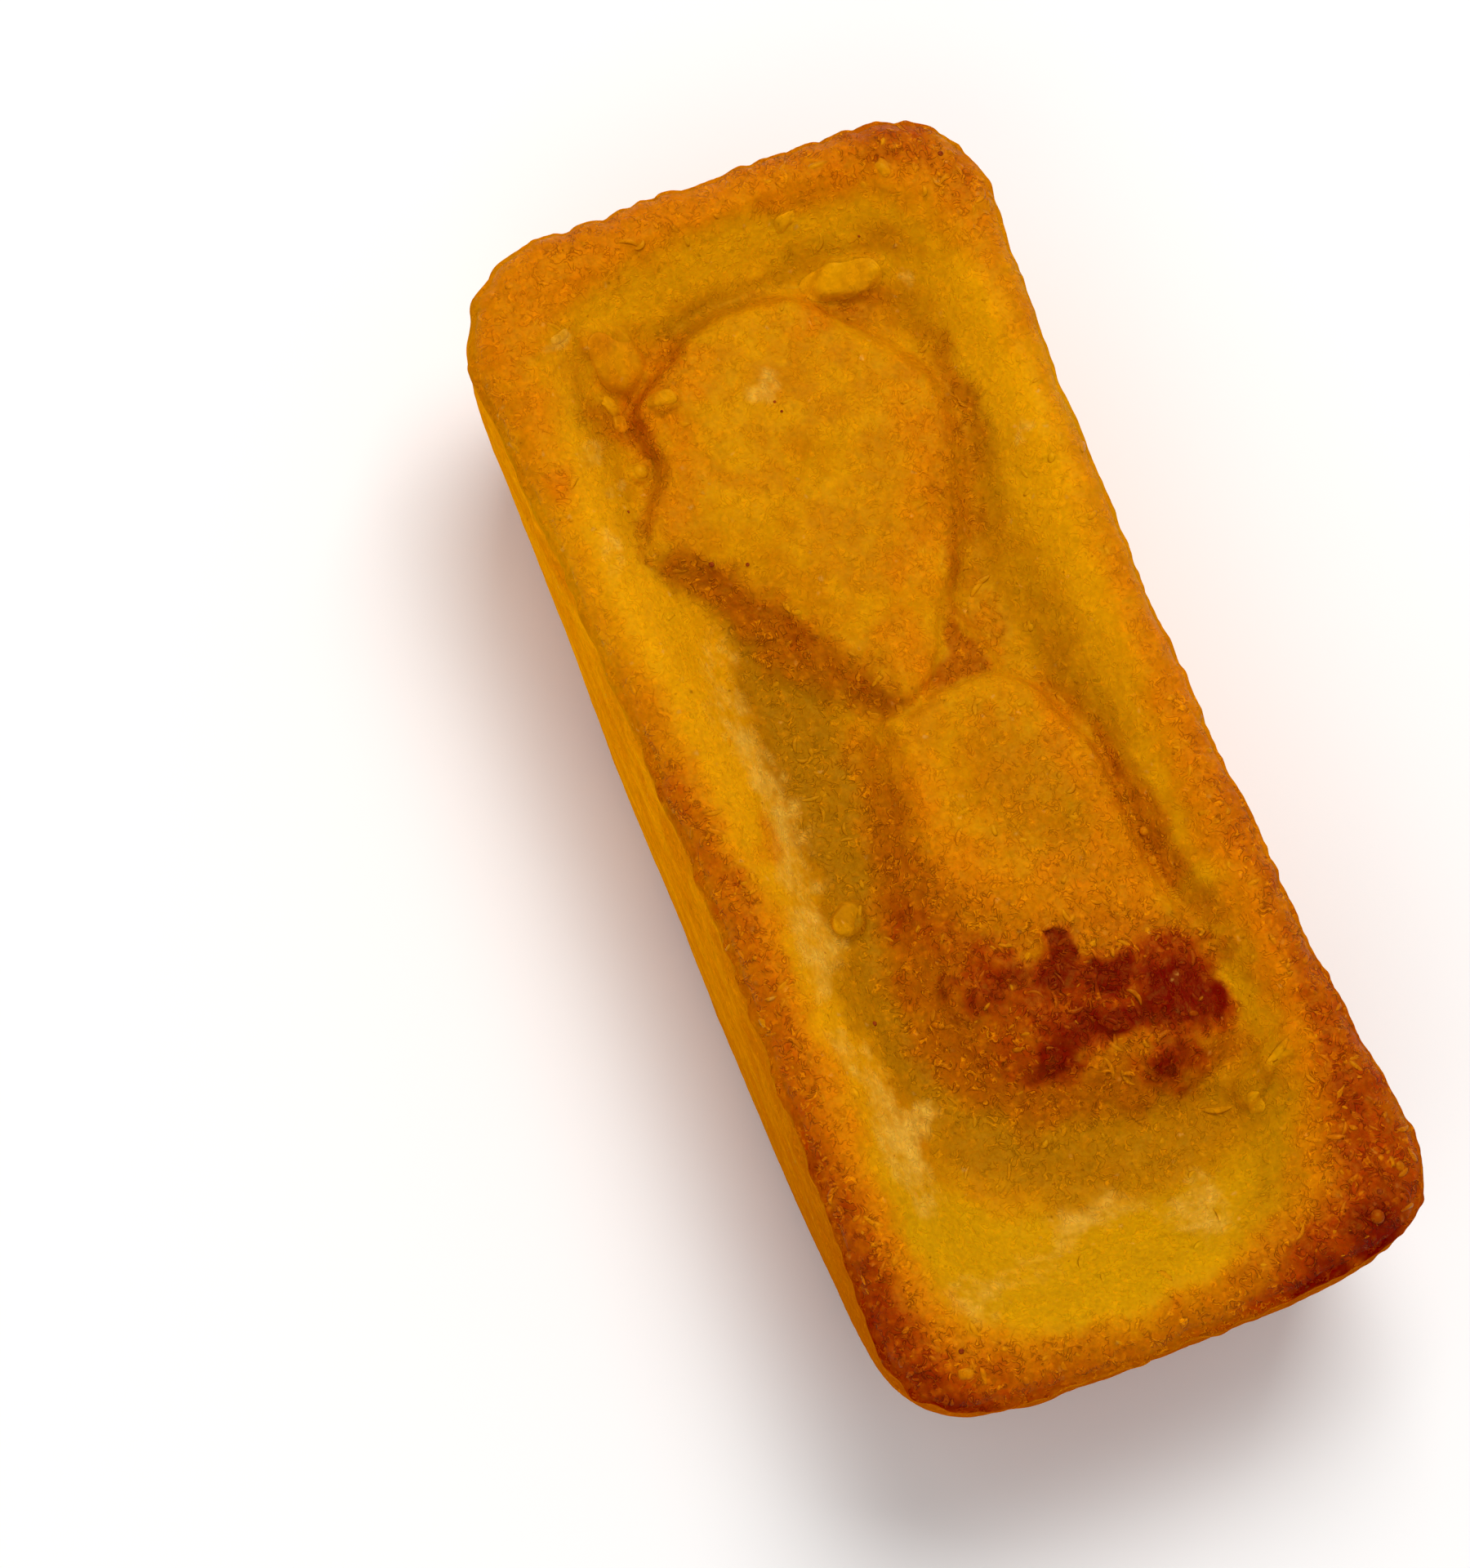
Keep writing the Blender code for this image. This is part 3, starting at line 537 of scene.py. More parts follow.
STAINS = {
    # Yellow paint is the slopes' own yellower crumb, made lighter as painted light where the slopes face the
    # light and on the front rim, which the lamp leaves in shade
    "yellow_and_light": [
        [(-40, -17.2, 1.8, 0.5), (-30, -17.6, 1.8, 0.6), (-18, -16.6, 2.6, 0.9),
         (-4, -15.8, 2.4, 0.9), (10, -16.6, 2.0, 0.8), (24, -16.8, 2.2, 0.75), (32, -16.8, 2.2, 0.5)],
        [(-36, 17.4, 2.2, 0.8), (-22, 17.6, 2.8, 1.0), (-8, 16.6, 2.2, 0.9), (6, 17.0, 1.8, 0.55)],
        [(-44.8, -10, 2.2, 0.85), (-44.4, 3, 2.4, 0.9), (-44, 9, 2.0, 0.6)],
        [(-35, -20.0, 1.4, 0.4), (-24, -20.6, 1.6, 0.75), (-14, -20.2, 1.5, 0.4)],
    ],
    "lemon": [
        [(28, -16.8, 1.8, 0.3), (36, -15.8, 2.6, 0.9), (42.0, -12.6, 3.6, 1.0), (44.2, -7, 3.8, 1.0),
         (44.8, -1, 3.8, 1.0), (44.4, 5, 3.6, 0.9), (42.4, 11, 3.2, 0.7), (38.4, 15.0, 2.2, 0.5)],
    ],
    # Olive paint is the trough's moist crumb colour, made darker as painted shade in the hollows and beside
    # the lumps' edges
    "olive_and_shade": [
        [(2, 5, 3.2, 0.5), (9, 6, 4.0, 0.6), (15, 8, 3.2, 0.55)],
        [(42.6, 13.4, 2.0, 0.4), (45.6, 10.4, 1.8, 0.55), (47.2, 6.6, 1.2, 0.3)],
        [(-38, -15.4, 1.0, 0.4), (-31, -15.6, 0.9, 0.4), (-25, -16.0, 0.9, 0.4),
         (-19, -12.4, 1.6, 0.7), (-13, -10.8, 2.2, 0.8), (-7, -9.6, 3.0, 0.95), (0, -9.8, 3.0, 0.95),
         (8, -10.8, 2.4, 0.9), (16, -12.4, 1.8, 0.85), (24, -11.6, 2.2, 0.85), (31, -9.2, 3.4, 0.8),
         (35.4, -4, 4.2, 0.8), (36.6, 3, 4.2, 0.75), (37.0, 9, 3.6, 0.6), (37.6, 13, 3.0, 0.5)],
        [(-36, 13, 1.4, 0.3), (-28, 14.2, 1.2, 0.3), (-20, 12.8, 1.6, 0.4), (-12, 10.6, 2.2, 0.45),
         (-6, 11.4, 2.4, 0.45), (0, 13, 2.0, 0.45), (7, 14.2, 1.0, 0.3)],
        [(-39.4, -7.6, 1.2, 0.5), (-40.8, -3, 1.1, 0.6), (-41.0, 2, 1.1, 0.45), (-41.8, 8, 1.4, 0.4),
         (-40.4, 12.6, 1.8, 0.3)],
    ],
    # Cream paint is painted highlight: soft reflections on the moist slopes, pale as cream
    "cream_highlight": [
        [(-13.6, -13.8, 1.4, 0.2), (-9, -14.4, 1.4, 0.25), (-5.6, -14.0, 1.4, 0.5),
         (-2, -13.9, 1.4, 0.55)],
        [(1.2, -13.8, 1.3, 0.45), (4, -13.9, 1.4, 0.5), (7, -14.3, 1.3, 0.35)],
        [(10.4, -15.3, 1.2, 0.45), (13, -15.4, 1.3, 0.6), (16, -16.0, 1.0, 0.35)],
        [(28.8, -12.8, 1.1, 0.4), (29.6, -14.2, 1.4, 0.6)],
        [(20, -16.4, 0.9, 0.3), (25.4, -15.4, 1.1, 0.35), (30, -15.2, 1.2, 0.5),
         (35, -15.0, 0.9, 0.35)],
        [(40.8, -0.8, 1.1, 0.4), (41.0, -5.4, 1.2, 0.45)],
        [(43.6, -7.4, 1.2, 0.2), (42.6, -12.0, 1.0, 0.15), (44.0, -14.8, 1.4, 0.4),
         (42.4, -17, 1.0, 0.15)],
        [(42.0, 5.8, 1.3, 0.45), (44.6, 5.6, 1.6, 0.45), (43.2, 3.2, 1.4, 0.45),
         (42.2, 1.0, 0.8, 0.15)],
        [(-43.0, -14.8, 0.4, 0.3), (-42.2, -16.0, 0.5, 0.35)],
        [(-33.0, -16.2, 0.6, 0.3), (-31.8, -17.2, 0.6, 0.35)],
        [(-28.9, -15.6, 0.4, 0.3), (-28.4, -16.4, 0.4, 0.25)],
        [(-25.0, -18.2, 0.9, 0.35), (-23.2, -18.6, 0.9, 0.3)],
        [(-33.8, -0.6, 0.9, 0.35), (-33.0, -1.2, 0.9, 0.35)],
        [(-37.8, 13.7, 0.5, 0.45), (-37.2, 13.5, 0.5, 0.4)],
        [(-22.4, 17.4, 0.6, 0.4), (-21.4, 16.8, 0.6, 0.3)],
    ],
    "orange": [
        [(-11, -20.8, 1.7, 0.6), (-24, -21.4, 1.4, 0.3), (-34, -20.8, 2.2, 0.55),
         (-42, -20.2, 2.4, 0.6), (-47.2, -17.0, 2.8, 0.7), (-49.6, -10, 2.8, 0.82),
         (-50.0, 0, 2.6, 0.84), (-49.8, 8, 2.8, 0.84), (-48.4, 15.6, 3.0, 0.85),
         (-44, 20.2, 2.4, 0.75), (-36, 20.9, 2.0, 0.45), (-24, 20.8, 1.4, 0.25),
         (-10, 20.2, 1.6, 0.45), (4, 20.0, 2.2, 0.85), (16, 20, 2.6, 0.95), (28, 20.2, 2.3, 0.95),
         (38, 19.6, 2.7, 0.95), (46, 17.0, 2.9, 0.95), (49.8, 10, 2.0, 0.9), (50.9, 2, 1.7, 0.7),
         (51.0, -6, 1.7, 0.8), (50.4, -13, 2.3, 0.95), (47.6, -18.6, 2.7, 0.95),
         (42, -20.6, 2.3, 0.95), (32, -20.8, 2.0, 0.95), (20, -20.4, 2.0, 0.9), (8, -19.9, 2.1, 0.85),
         (-2, -20.6, 1.7, 0.8), (-11, -20.8, 1.7, 0.6)],
        [(-40.6, -12.8, 1.0, 0.4), (-39.4, -11.6, 1.4, 0.5), (-38.0, -13.2, 1.2, 0.4)],
        [(-36.8, -6, 1.2, 0.4), (-34, -9.4, 1.6, 0.6), (-29, -9.6, 1.6, 0.5), (-25, -12.6, 1.2, 0.4)],
        [(-38.2, -8.2, 1.0, 0.6), (-36.0, -11.2, 1.1, 1.0), (-33.2, -12.6, 1.1, 1.0),
         (-31.0, -12.6, 0.9, 0.5)],
        [(-38.4, 5.2, 0.9, 0.5), (-36.6, 4.6, 1.2, 0.7), (-36.2, 3.2, 0.8, 0.4)],
        [(-28, 9.6, 2.0, 0.4), (-22, 8.6, 2.0, 0.6), (-17, 5.6, 1.8, 0.5), (-13, 3.2, 1.8, 0.4)],
        [(-9, 1.0, 2.0, 0.5), (-5, 0.6, 1.2, 0.6)],
        [(0, 10.2, 1.2, 0.5), (8, 10.6, 1.4, 0.5), (16, 10.4, 2.0, 0.6), (20, 8, 2.6, 0.8)],
        [(1, -2.4, 1.6, 0.5), (8, -3.2, 2.0, 0.6), (14, -2.6, 2.2, 0.7)],
        [(31, 15.2, 2.2, 0.35)],
        [(1, 5, 3.4, 0.3), (10, 3, 4.4, 0.4), (17, 4, 3.8, 0.7)],
        [(-31.4, -19.8, 0.7, 0.8), (-30.2, -20.3, 0.6, 0.7)],
        [(1.4, -15.6, 0.7, 0.5), (3.6, -15.8, 0.9, 0.45)],
        [(3.6, 12.6, 0.5, 0.4), (8, 12.9, 0.8, 0.7), (13, 13.3, 1.0, 0.7), (17.6, 13.4, 0.9, 0.6)],
    ],
    # Amber paint is browning on the right rim and round the scorch, and painted shadow under the lumps' lips,
    # in the furrows, in the recess between the lumps and beside the big flake
    "amber_and_shade": [
        [(30, -20.0, 1.1, 0.2), (42, -19.8, 1.2, 0.3), (47.4, -17.4, 1.3, 0.4),
         (49.6, -11.6, 1.3, 0.55), (50.6, -4, 1.4, 0.62), (50.8, 2, 1.3, 0.58), (49.6, 8, 1.3, 0.65),
         (47.4, 14.4, 1.4, 0.5), (41, 18.2, 1.4, 0.35)],
        [(-21.4, -13.4, 1.1, 0.75), (-17.6, -10.6, 2.0, 0.9), (-12.0, -7.8, 2.4, 0.8),
         (-7.6, -4.6, 2.4, 0.75), (-4.6, -2.2, 1.5, 0.65)],
        [(-36.6, -10.6, 0.9, 0.3), (-34.2, -12.2, 1.0, 0.4), (-31.8, -12.6, 0.7, 0.5),
         (-29.6, -12.2, 0.7, 0.5), (-27.7, -13.2, 0.7, 0.5), (-25.2, -15.2, 0.8, 0.5),
         (-22.8, -15.5, 0.5, 0.4)],
        [(-36.4, -14.8, 1.0, 0.5), (-33.6, -14.0, 0.8, 0.5)],
        [(-16.8, 8.9, 0.6, 0.2), (-13.6, 7.2, 0.6, 0.4), (-10.8, 5.6, 0.5, 0.35),
         (-8.6, 5.6, 0.5, 0.8)],
        [(-6.2, 6.1, 0.7, 1.0), (-4.6, 6.2, 0.8, 1.0)],
        [(-8.2, 5.7, 0.5, 0.9), (-6.8, 5.6, 0.9, 1.0), (-5.4, 5.3, 1.45, 1.0), (-4.9, 4.0, 1.1, 1.0),
         (-4.3, 2.4, 0.6, 0.95)],
        [(31.6, 12.4, 1.8, 0.6), (32.6, 4.6, 2.2, 0.7)],
        [(3.6, 12.4, 0.7, 0.35), (8, 12.7, 1.0, 0.5), (13, 13.3, 1.1, 0.5), (18, 13.6, 1.0, 0.5)],
        [(-31.4, 13.8, 1.2, 0.5), (-26, 13.4, 1.2, 0.6), (-20, 10.4, 1.6, 0.5), (-14, 8.4, 1.4, 0.45),
         (-6, 8.0, 1.1, 0.5)],
        [(-2, -5.4, 1.3, 0.5), (5, -6.4, 1.8, 0.7), (12, -7.4, 2.6, 0.85), (19, -8, 2.8, 0.9),
         (26, -8.2, 2.4, 0.7), (32, -4.4, 2.2, 0.5)],
        [(-37.0, 10.4, 1.0, 0.5), (-36.6, 8.0, 1.3, 0.6), (-37.4, 6.6, 0.9, 0.6)],
        [(-38.4, -6.6, 1.2, 0.4), (-37.2, -8.6, 1.0, 0.5)],
        [(21.4, 14.4, 1.8, 0.5), (21.0, 10.0, 1.8, 0.7), (19.4, 6.0, 1.8, 0.6), (17.4, 0.6, 2.0, 0.6),
         (14.4, -4.2, 2.4, 0.65), (8.0, -5.6, 1.8, 0.4)],
        [(28.6, 9.4, 1.4, 0.9), (29.0, 6.6, 1.4, 0.9), (29.4, 3.2, 1.4, 0.7), (31.4, 1.0, 1.6, 0.8),
         (31.0, -2.2, 1.8, 0.8), (27.4, -6.6, 2.0, 0.6), (22.6, -8.8, 2.0, 0.6)],
        [(24.2, 3.4, 1.6, 0.9), (24.0, 0.4, 1.8, 0.9), (24.6, -3.4, 2.6, 0.9)],
        [(27.6, -2.6, 2.4, 0.7), (26.0, -5.0, 2.4, 0.6), (22.0, -5.0, 2.4, 0.6)],
    ],
    "brown": [
        [(-8, -21.4, 1.0, 0.35), (-4, -21.2, 1.3, 0.46), (4, -21.0, 1.5, 0.42),
         (12, -20.9, 1.5, 0.48), (22, -21.3, 1.5, 0.5), (30, -21.7, 1.5, 0.58),
         (36, -21.8, 1.7, 0.66), (43, -21.6, 2.0, 0.8), (48.4, -20.6, 2.3, 0.85),
         (50.4, -16.8, 1.9, 0.85), (51.2, -12, 1.6, 0.65), (51.8, -6, 1.2, 0.35), (52.0, 1, 1.1, 0.4),
         (51.6, 7, 1.4, 0.8), (51.0, 11, 1.9, 0.88), (50.0, 15, 2.6, 0.9), (48.0, 18.8, 2.8, 0.85),
         (43, 20.0, 2.5, 0.82), (38, 20.2, 2.1, 0.78), (32, 20.8, 1.6, 0.66), (24, 21.0, 1.4, 0.5),
         (14, 20.6, 1.3, 0.38), (6, 20.2, 0.9, 0.2)],
        [(-40.0, 21.0, 1.2, 0.2), (-47.0, 19.6, 1.6, 0.45), (-49.2, 16.4, 1.6, 0.6),
         (-50.2, 12.0, 1.3, 0.4), (-50.6, 4.0, 1.3, 0.3), (-50.6, -4.0, 1.2, 0.28),
         (-50.2, -12.0, 1.2, 0.25)],
        [(-36.4, -11.4, 0.6, 0.3), (-33.8, -12.2, 0.7, 0.35)],
        [(-12.6, -6.0, 1.3, 0.35), (-11.2, -6.5, 1.0, 0.4)],
        [(-8.0, -3.4, 0.9, 0.25), (-5.8, -2.6, 0.8, 0.2)],
        [(3.6, -19.2, 1.0, 0.35), (5.6, -18.6, 0.9, 0.35), (8.4, -19.2, 0.9, 0.3)],
        [(12.6, -17.8, 0.6, 0.35), (14.2, -18.1, 0.6, 0.3)],
        [(23.8, 15.6, 0.8, 0.4), (24.0, 13.0, 1.7, 0.75), (24.2, 10.4, 2.3, 0.9),
         (24.2, 8.0, 2.4, 0.9), (23.4, 5.4, 2.2, 0.9)],
        [(22.8, 9.4, 1.4, 0.5), (22.4, 11.6, 1.2, 0.4)],
        [(28.5, 12.8, 1.6, 0.9), (27.8, 10.4, 1.8, 0.95), (27.2, 7.6, 1.6, 0.9), (27.0, 5.0, 1.6, 0.9)],
        [(18.8, 2.7, 1.1, 0.8), (20.6, 2.2, 1.7, 0.9), (22.8, 3.2, 1.9, 0.8), (25.6, 2.8, 1.9, 0.75)],
        [(23.6, 1.4, 2.0, 0.65), (25.4, -1.2, 2.4, 0.75), (25.4, -3.0, 1.6, 0.5)],
        [(27.4, 1.2, 1.7, 0.85), (28.2, -0.8, 1.9, 0.9), (28.4, -3.0, 1.4, 0.65),
         (26.2, -5.6, 1.4, 0.4)],
        [(21.4, 0.2, 1.7, 0.6), (20.4, -2.4, 2.7, 0.75), (20.8, -4.8, 2.5, 0.7),
         (20.2, -6.6, 1.2, 0.45)],
        [(18.2, -3.2, 1.8, 0.5), (16.6, -5.6, 1.8, 0.42), (13.2, -8.6, 1.4, 0.5),
         (11.0, -8.4, 1.1, 0.4)],
        [(29.8, 9.2, 1.5, 0.5), (31.2, 8.6, 2.3, 0.8), (31.9, 7.2, 1.9, 0.85), (31.6, 5.8, 1.5, 0.6)],
        [(17.4, -10.2, 1.0, 0.4), (19.4, -10.4, 0.8, 0.3)],
    ],
    "char": [
        [(27.6, 13.2, 0.8, 0.85), (28.6, 12.4, 1.0, 0.95), (28.2, 10.8, 1.1, 0.9),
         (27.4, 9.2, 1.0, 0.8)],
        [(26.4, 10.8, 1.1, 0.95), (24.8, 10.6, 1.0, 0.85), (25.4, 9.4, 1.1, 0.9),
         (26.2, 8.2, 1.0, 0.95)],
        [(22.4, 6.6, 0.8, 0.95), (23.0, 5.2, 1.2, 1.0), (22.0, 4.9, 0.8, 0.95)],
        [(27.6, 6.8, 0.9, 0.9), (27.3, 5.2, 1.0, 0.95), (26.5, 3.9, 0.8, 0.7)],
        [(18.4, 2.7, 0.6, 0.95), (20.0, 2.9, 1.1, 1.0), (21.4, 2.1, 1.1, 1.0), (22.8, 2.8, 0.8, 0.6)],
        [(26.0, 2.6, 0.8, 0.65), (27.0, 1.2, 0.8, 0.5)],
        [(31.0, 8.2, 0.9, 0.4), (31.9, 7.0, 1.2, 0.75), (32.4, 6.4, 0.8, 0.5)],
        [(27.4, 0.8, 1.1, 0.7), (28.6, 0.2, 1.1, 0.8), (28.0, -1.2, 1.1, 0.85)],
        [(28.6, -2.4, 0.8, 0.5), (28.8, -3.4, 0.6, 0.4)],
        [(20.4, -1.4, 1.1, 0.35), (21.2, -3.2, 1.2, 0.3), (22.0, -5.4, 0.9, 0.35)],
        [(19.4, -7.0, 0.7, 0.5), (20.2, -7.6, 0.6, 0.5)],
        [(12.4, -8.2, 0.9, 0.25), (14.4, -9.2, 0.8, 0.3)],
        [(26.4, 11.2, 2.4, 0.45), (25.4, 7.4, 2.6, 0.38), (24.6, 3.4, 2.6, 0.34),
         (26.6, -0.4, 2.4, 0.42)],
        [(21.2, 0.6, 1.8, 0.32), (20.6, -3.2, 2.6, 0.38), (18.2, -5.0, 1.8, 0.28)],
        [(23.0, 11.6, 1.4, 0.3), (23.2, 8.8, 1.4, 0.35), (30.8, 8.8, 1.6, 0.35)],
        [(37.4, 20.0, 0.8, 0.4), (38.8, 18.9, 1.0, 0.4), (42.4, 19.4, 0.8, 0.3)],
        [(46.6, 19.7, 1.0, 0.45), (48.2, 18.0, 1.4, 0.7), (49.6, 16.0, 1.4, 0.75)],
        [(50.8, 12.8, 1.0, 0.75), (51.2, 9.6, 0.8, 0.65)],
        [(29.0, -21.8, 0.8, 0.3), (35.6, -21.8, 1.0, 0.4), (41.8, -22.0, 1.2, 0.45),
         (45.6, -21.6, 1.3, 0.45), (49.4, -19.2, 1.2, 0.6), (51.0, -15.8, 0.8, 0.5)],
    ],
}


def stain_cover(u, v, lines, core, end):
    """How strongly a set of soft-edged stains covers each point."""
    clear = np.ones(np.shape(u))
    for line in lines:
        distance, (half_width, strength) = nearest_on_path(u, v, np.array(line), closed=False)
        clear = clear * (1.0 - strength * soft_between(distance / half_width, end, core))
    return 1.0 - clear


def covers_at(points):
    """The cover of each kind of stain, with edges broken up by noise."""
    x, y, z = points.T
    out_x, out_y, outer = rim_place(x, y)
    pull = EDGE_PULL[1] * smooth_step(1.0 + outer / EDGE_PULL[0])
    shift_u, shift_v = [slant * (RIM_Z - z) + sum(uneven(x, y, z, warp) for warp in warps)
                        for slant, warps in zip(VIEW_SLANT, EDGE_WARPS)]
    u = x + RIM_SHIFT + shift_u - pull * out_x
    v = y + shift_v - pull * out_y
    return {name: stain_cover(u, v, lines, *SHARPER_EDGES.get(name, STAIN_EDGE))
            for name, lines in STAINS.items()}


def crumb_of(covers):
    """How rough and crumbly the crust is, from 0 to 1, where the stains cover it so much."""
    total = CRUMB_LEAST + sum(weight * covers[name] for name, weight in CRUMB_WEIGHTS.items())
    return np.clip(total, 0.0, 1.0)


def paint(mesh, points, on_top, keep, grain, tones=None):
    """Stores each stain's cover on the mesh for its material to read, or its own tone if more."""
    layers = covers_at(points)
    layers["crumb"] = crumb_of(layers)
    layers["grain"] = np.zeros(len(points)) + grain
    layers = {name: cover * on_top * keep for name, cover in layers.items()}
    for name, tone in (tones or {}).items():
        layers[name] = np.maximum(layers[name], tone)
    layers["wall"] = 1.0 - on_top
    for name, cover in layers.items():
        layer = mesh.attributes.new(name, "FLOAT", "POINT")
        layer.data.foreach_set("value", cover.astype(np.float32))


# Materials
def linear(red, green, blue):
    """A colour given in 0 to 255 as a screen shows it, in the shader's linear values."""
    def convert(value):
        value /= 255.0
        return value / 12.92 if value <= 0.04045 else ((value + 0.055) / 1.055) ** 2.4
    return convert(red), convert(green), convert(blue), 1.0


GOLDEN = linear(205, 134, 0)
WARM_GOLDEN = linear(192, 116, 0)
# Each stain's colour, how much noise breaks it up, and how soft its edge is
TINTS = {
    # yellow: the slopes' colour and painted light
    "yellow_and_light": (linear(219, 147, 1), 0.25, 0.45),
    "lemon": (linear(200, 141, 0), 0.25, 0.45),
    # olive: moist colour and painted shade
    "olive_and_shade": (linear(163, 101, 0), 0.35, 0.45),
    # cream: painted highlight
    "cream_highlight": (linear(224, 170, 56), 0.8, 0.5),
    "orange": (linear(203, 107, 0), 0.4, 0.6),
    # amber: browning and painted shadow
    "amber_and_shade": (linear(170, 84, 0), 0.4, 0.45),
    "brown": (linear(154, 43, 0), 0.35, 0.45),
    "char": (linear(112, 0, 0), 0.5, 0.4),
}
WALL = linear(238, 146, 0)
WALL_STREAK = linear(222, 126, 0)
BROWN_WALL = linear(164, 70, 0)
GRANULE = linear(200, 112, 0)
SHRED = linear(222, 136, 0)
PALE_SPECK = linear(214, 152, 62)
# Painted shade inside tiny pinholes
PIT_SHADE = linear(120, 58, 0)
BURNT_SPECK = linear(150, 62, 4)
DARK_SPECK = linear(118, 36, 2)
FLOOR_COLOUR = (0.93, 0.93, 0.92, 1.0)

# Each baked material's name, gloss, roughness, translucency and depth of its fine relief
TOP_MATERIAL = ("baked_top", 0.1, 0.38, 0.3, 0.16)
SIDE_MATERIAL = ("baked_side", 0.0, 0.55, 0.3, 0.06)
GRAIN_MATERIAL = ("glassy_grain", 0.16, 0.3, 0.0, 0.03)
GLOSS_TINT = (1.0, 0.7, 0.04, 1.0)
TRANSLUCENT_RADIUS = (1.0, 0.42, 0.08)
TRANSLUCENT_DEPTH = 1.3

# Noise in the materials: its size, detail and distortion
BLOTCH = (3.2, 2.0, 0.0)
RAGGED = (2.0, 2.6, 0.0)
MOTTLE = (1.0, 3.0, 0.0)
FLECK = (0.36, 2.0, 0.0)
SHREDS = (0.85, 1.5, 1.4)
STREAK = (2.4, 3.0, 0.0)
STREAK_STRETCH = (0.4, 0.4, 1.0)
SPECK_NOISE = (0.2, 3.0, 0.0)
# Cells: their size, how far they are bent, and the waves of that bend to a cell
CELL_SIZE = 0.7
CELL_BEND = 0.9
CELL_WAVES = 1.3

# How noise acts: bands of it that are ridges and grooves, its shares in breaking up the
# stains, and its shares in the fine relief, of flecks, ridges, grooves, mottle and blobs
RIDGE_BAND = (0.49, 0.53, 0.58)
GROOVE_BAND = (0.41, 0.46, 0.5)
SHRED_SHARE = 0.42
BREAKUP_SHARES = (1.5, 0.6)
RELIEF_SHARES = (0.3, 0.35, -0.35, 0.9, 0.12)

# Ramps: low, high, and what they give there where that isn't 0 and 1
NOISE_SPAN = (0.35, 0.65)
STAIN_ONSET = (0.0, 0.25)
WALL_SPAN = (0.1, 0.9)
BROWN_WALL_SPAN = (-20.0 * METRES, 62.0 * METRES)
LIVELY = (0.2, 0.9, 0.92, 1.4)
BLOB = (0.1, 0.6, 1.0, 0.0)
BLOB_PICK = (0.4, 0.8)
BLOB_ON_CRUMB = (0.2, 0.9, 0.1, 0.45)
BLOB_ON_CHAR = (0.0, 0.8, 1.0, 0.4)
BLOB_ON_BROWN = (0.2, 1.0, 1.0, 0.6)
BLOB_TONE = (-0.3, 0.3, 0.9, 1.1)
SHRED_PATCH = (0.42, 0.56)
SHRED_ON_CRUMB = (0.2, 0.8, 0.7, 1.0)
SHRED_ON_BROWN = (0.1, 0.9, 1.0, 0.5)
SHRED_ON_CHAR = (0.0, 0.7, 1.0, 0.35)
SPECK_NEAR = (0.05, 0.4, 1.0, 0.0)
SPECK_PICK = (0.94, 0.99)
SPECK_ON_CRUMB = (0.3, 0.9, 0.5, 0.15)
PIT_NEAR = (0.05, 0.25, 1.0, 0.0)
PIT_PICK = (0.92, 0.95, 0.0, 0.5)
MOTTLE_TONE = (0.32, 0.68, 0.94, 1.07)
FLECK_TONE = (0.32, 0.68, 0.93, 1.07)
# Painted highlight on the fine ridges and painted shadow in the grooves beside them
RIDGE_HIGHLIGHT = (0.0, 1.0, 1.0, 1.08)
GROOVE_SHADOW = (0.0, 1.0, 1.0, 0.74)
RELIEF_ON_CRUMB = (0.2, 0.8, 0.6, 1.0)
ROUGHNESS_SPAN = (0.3, 0.7)
ROUGHNESS_CHANGE = (-0.08, 0.12)


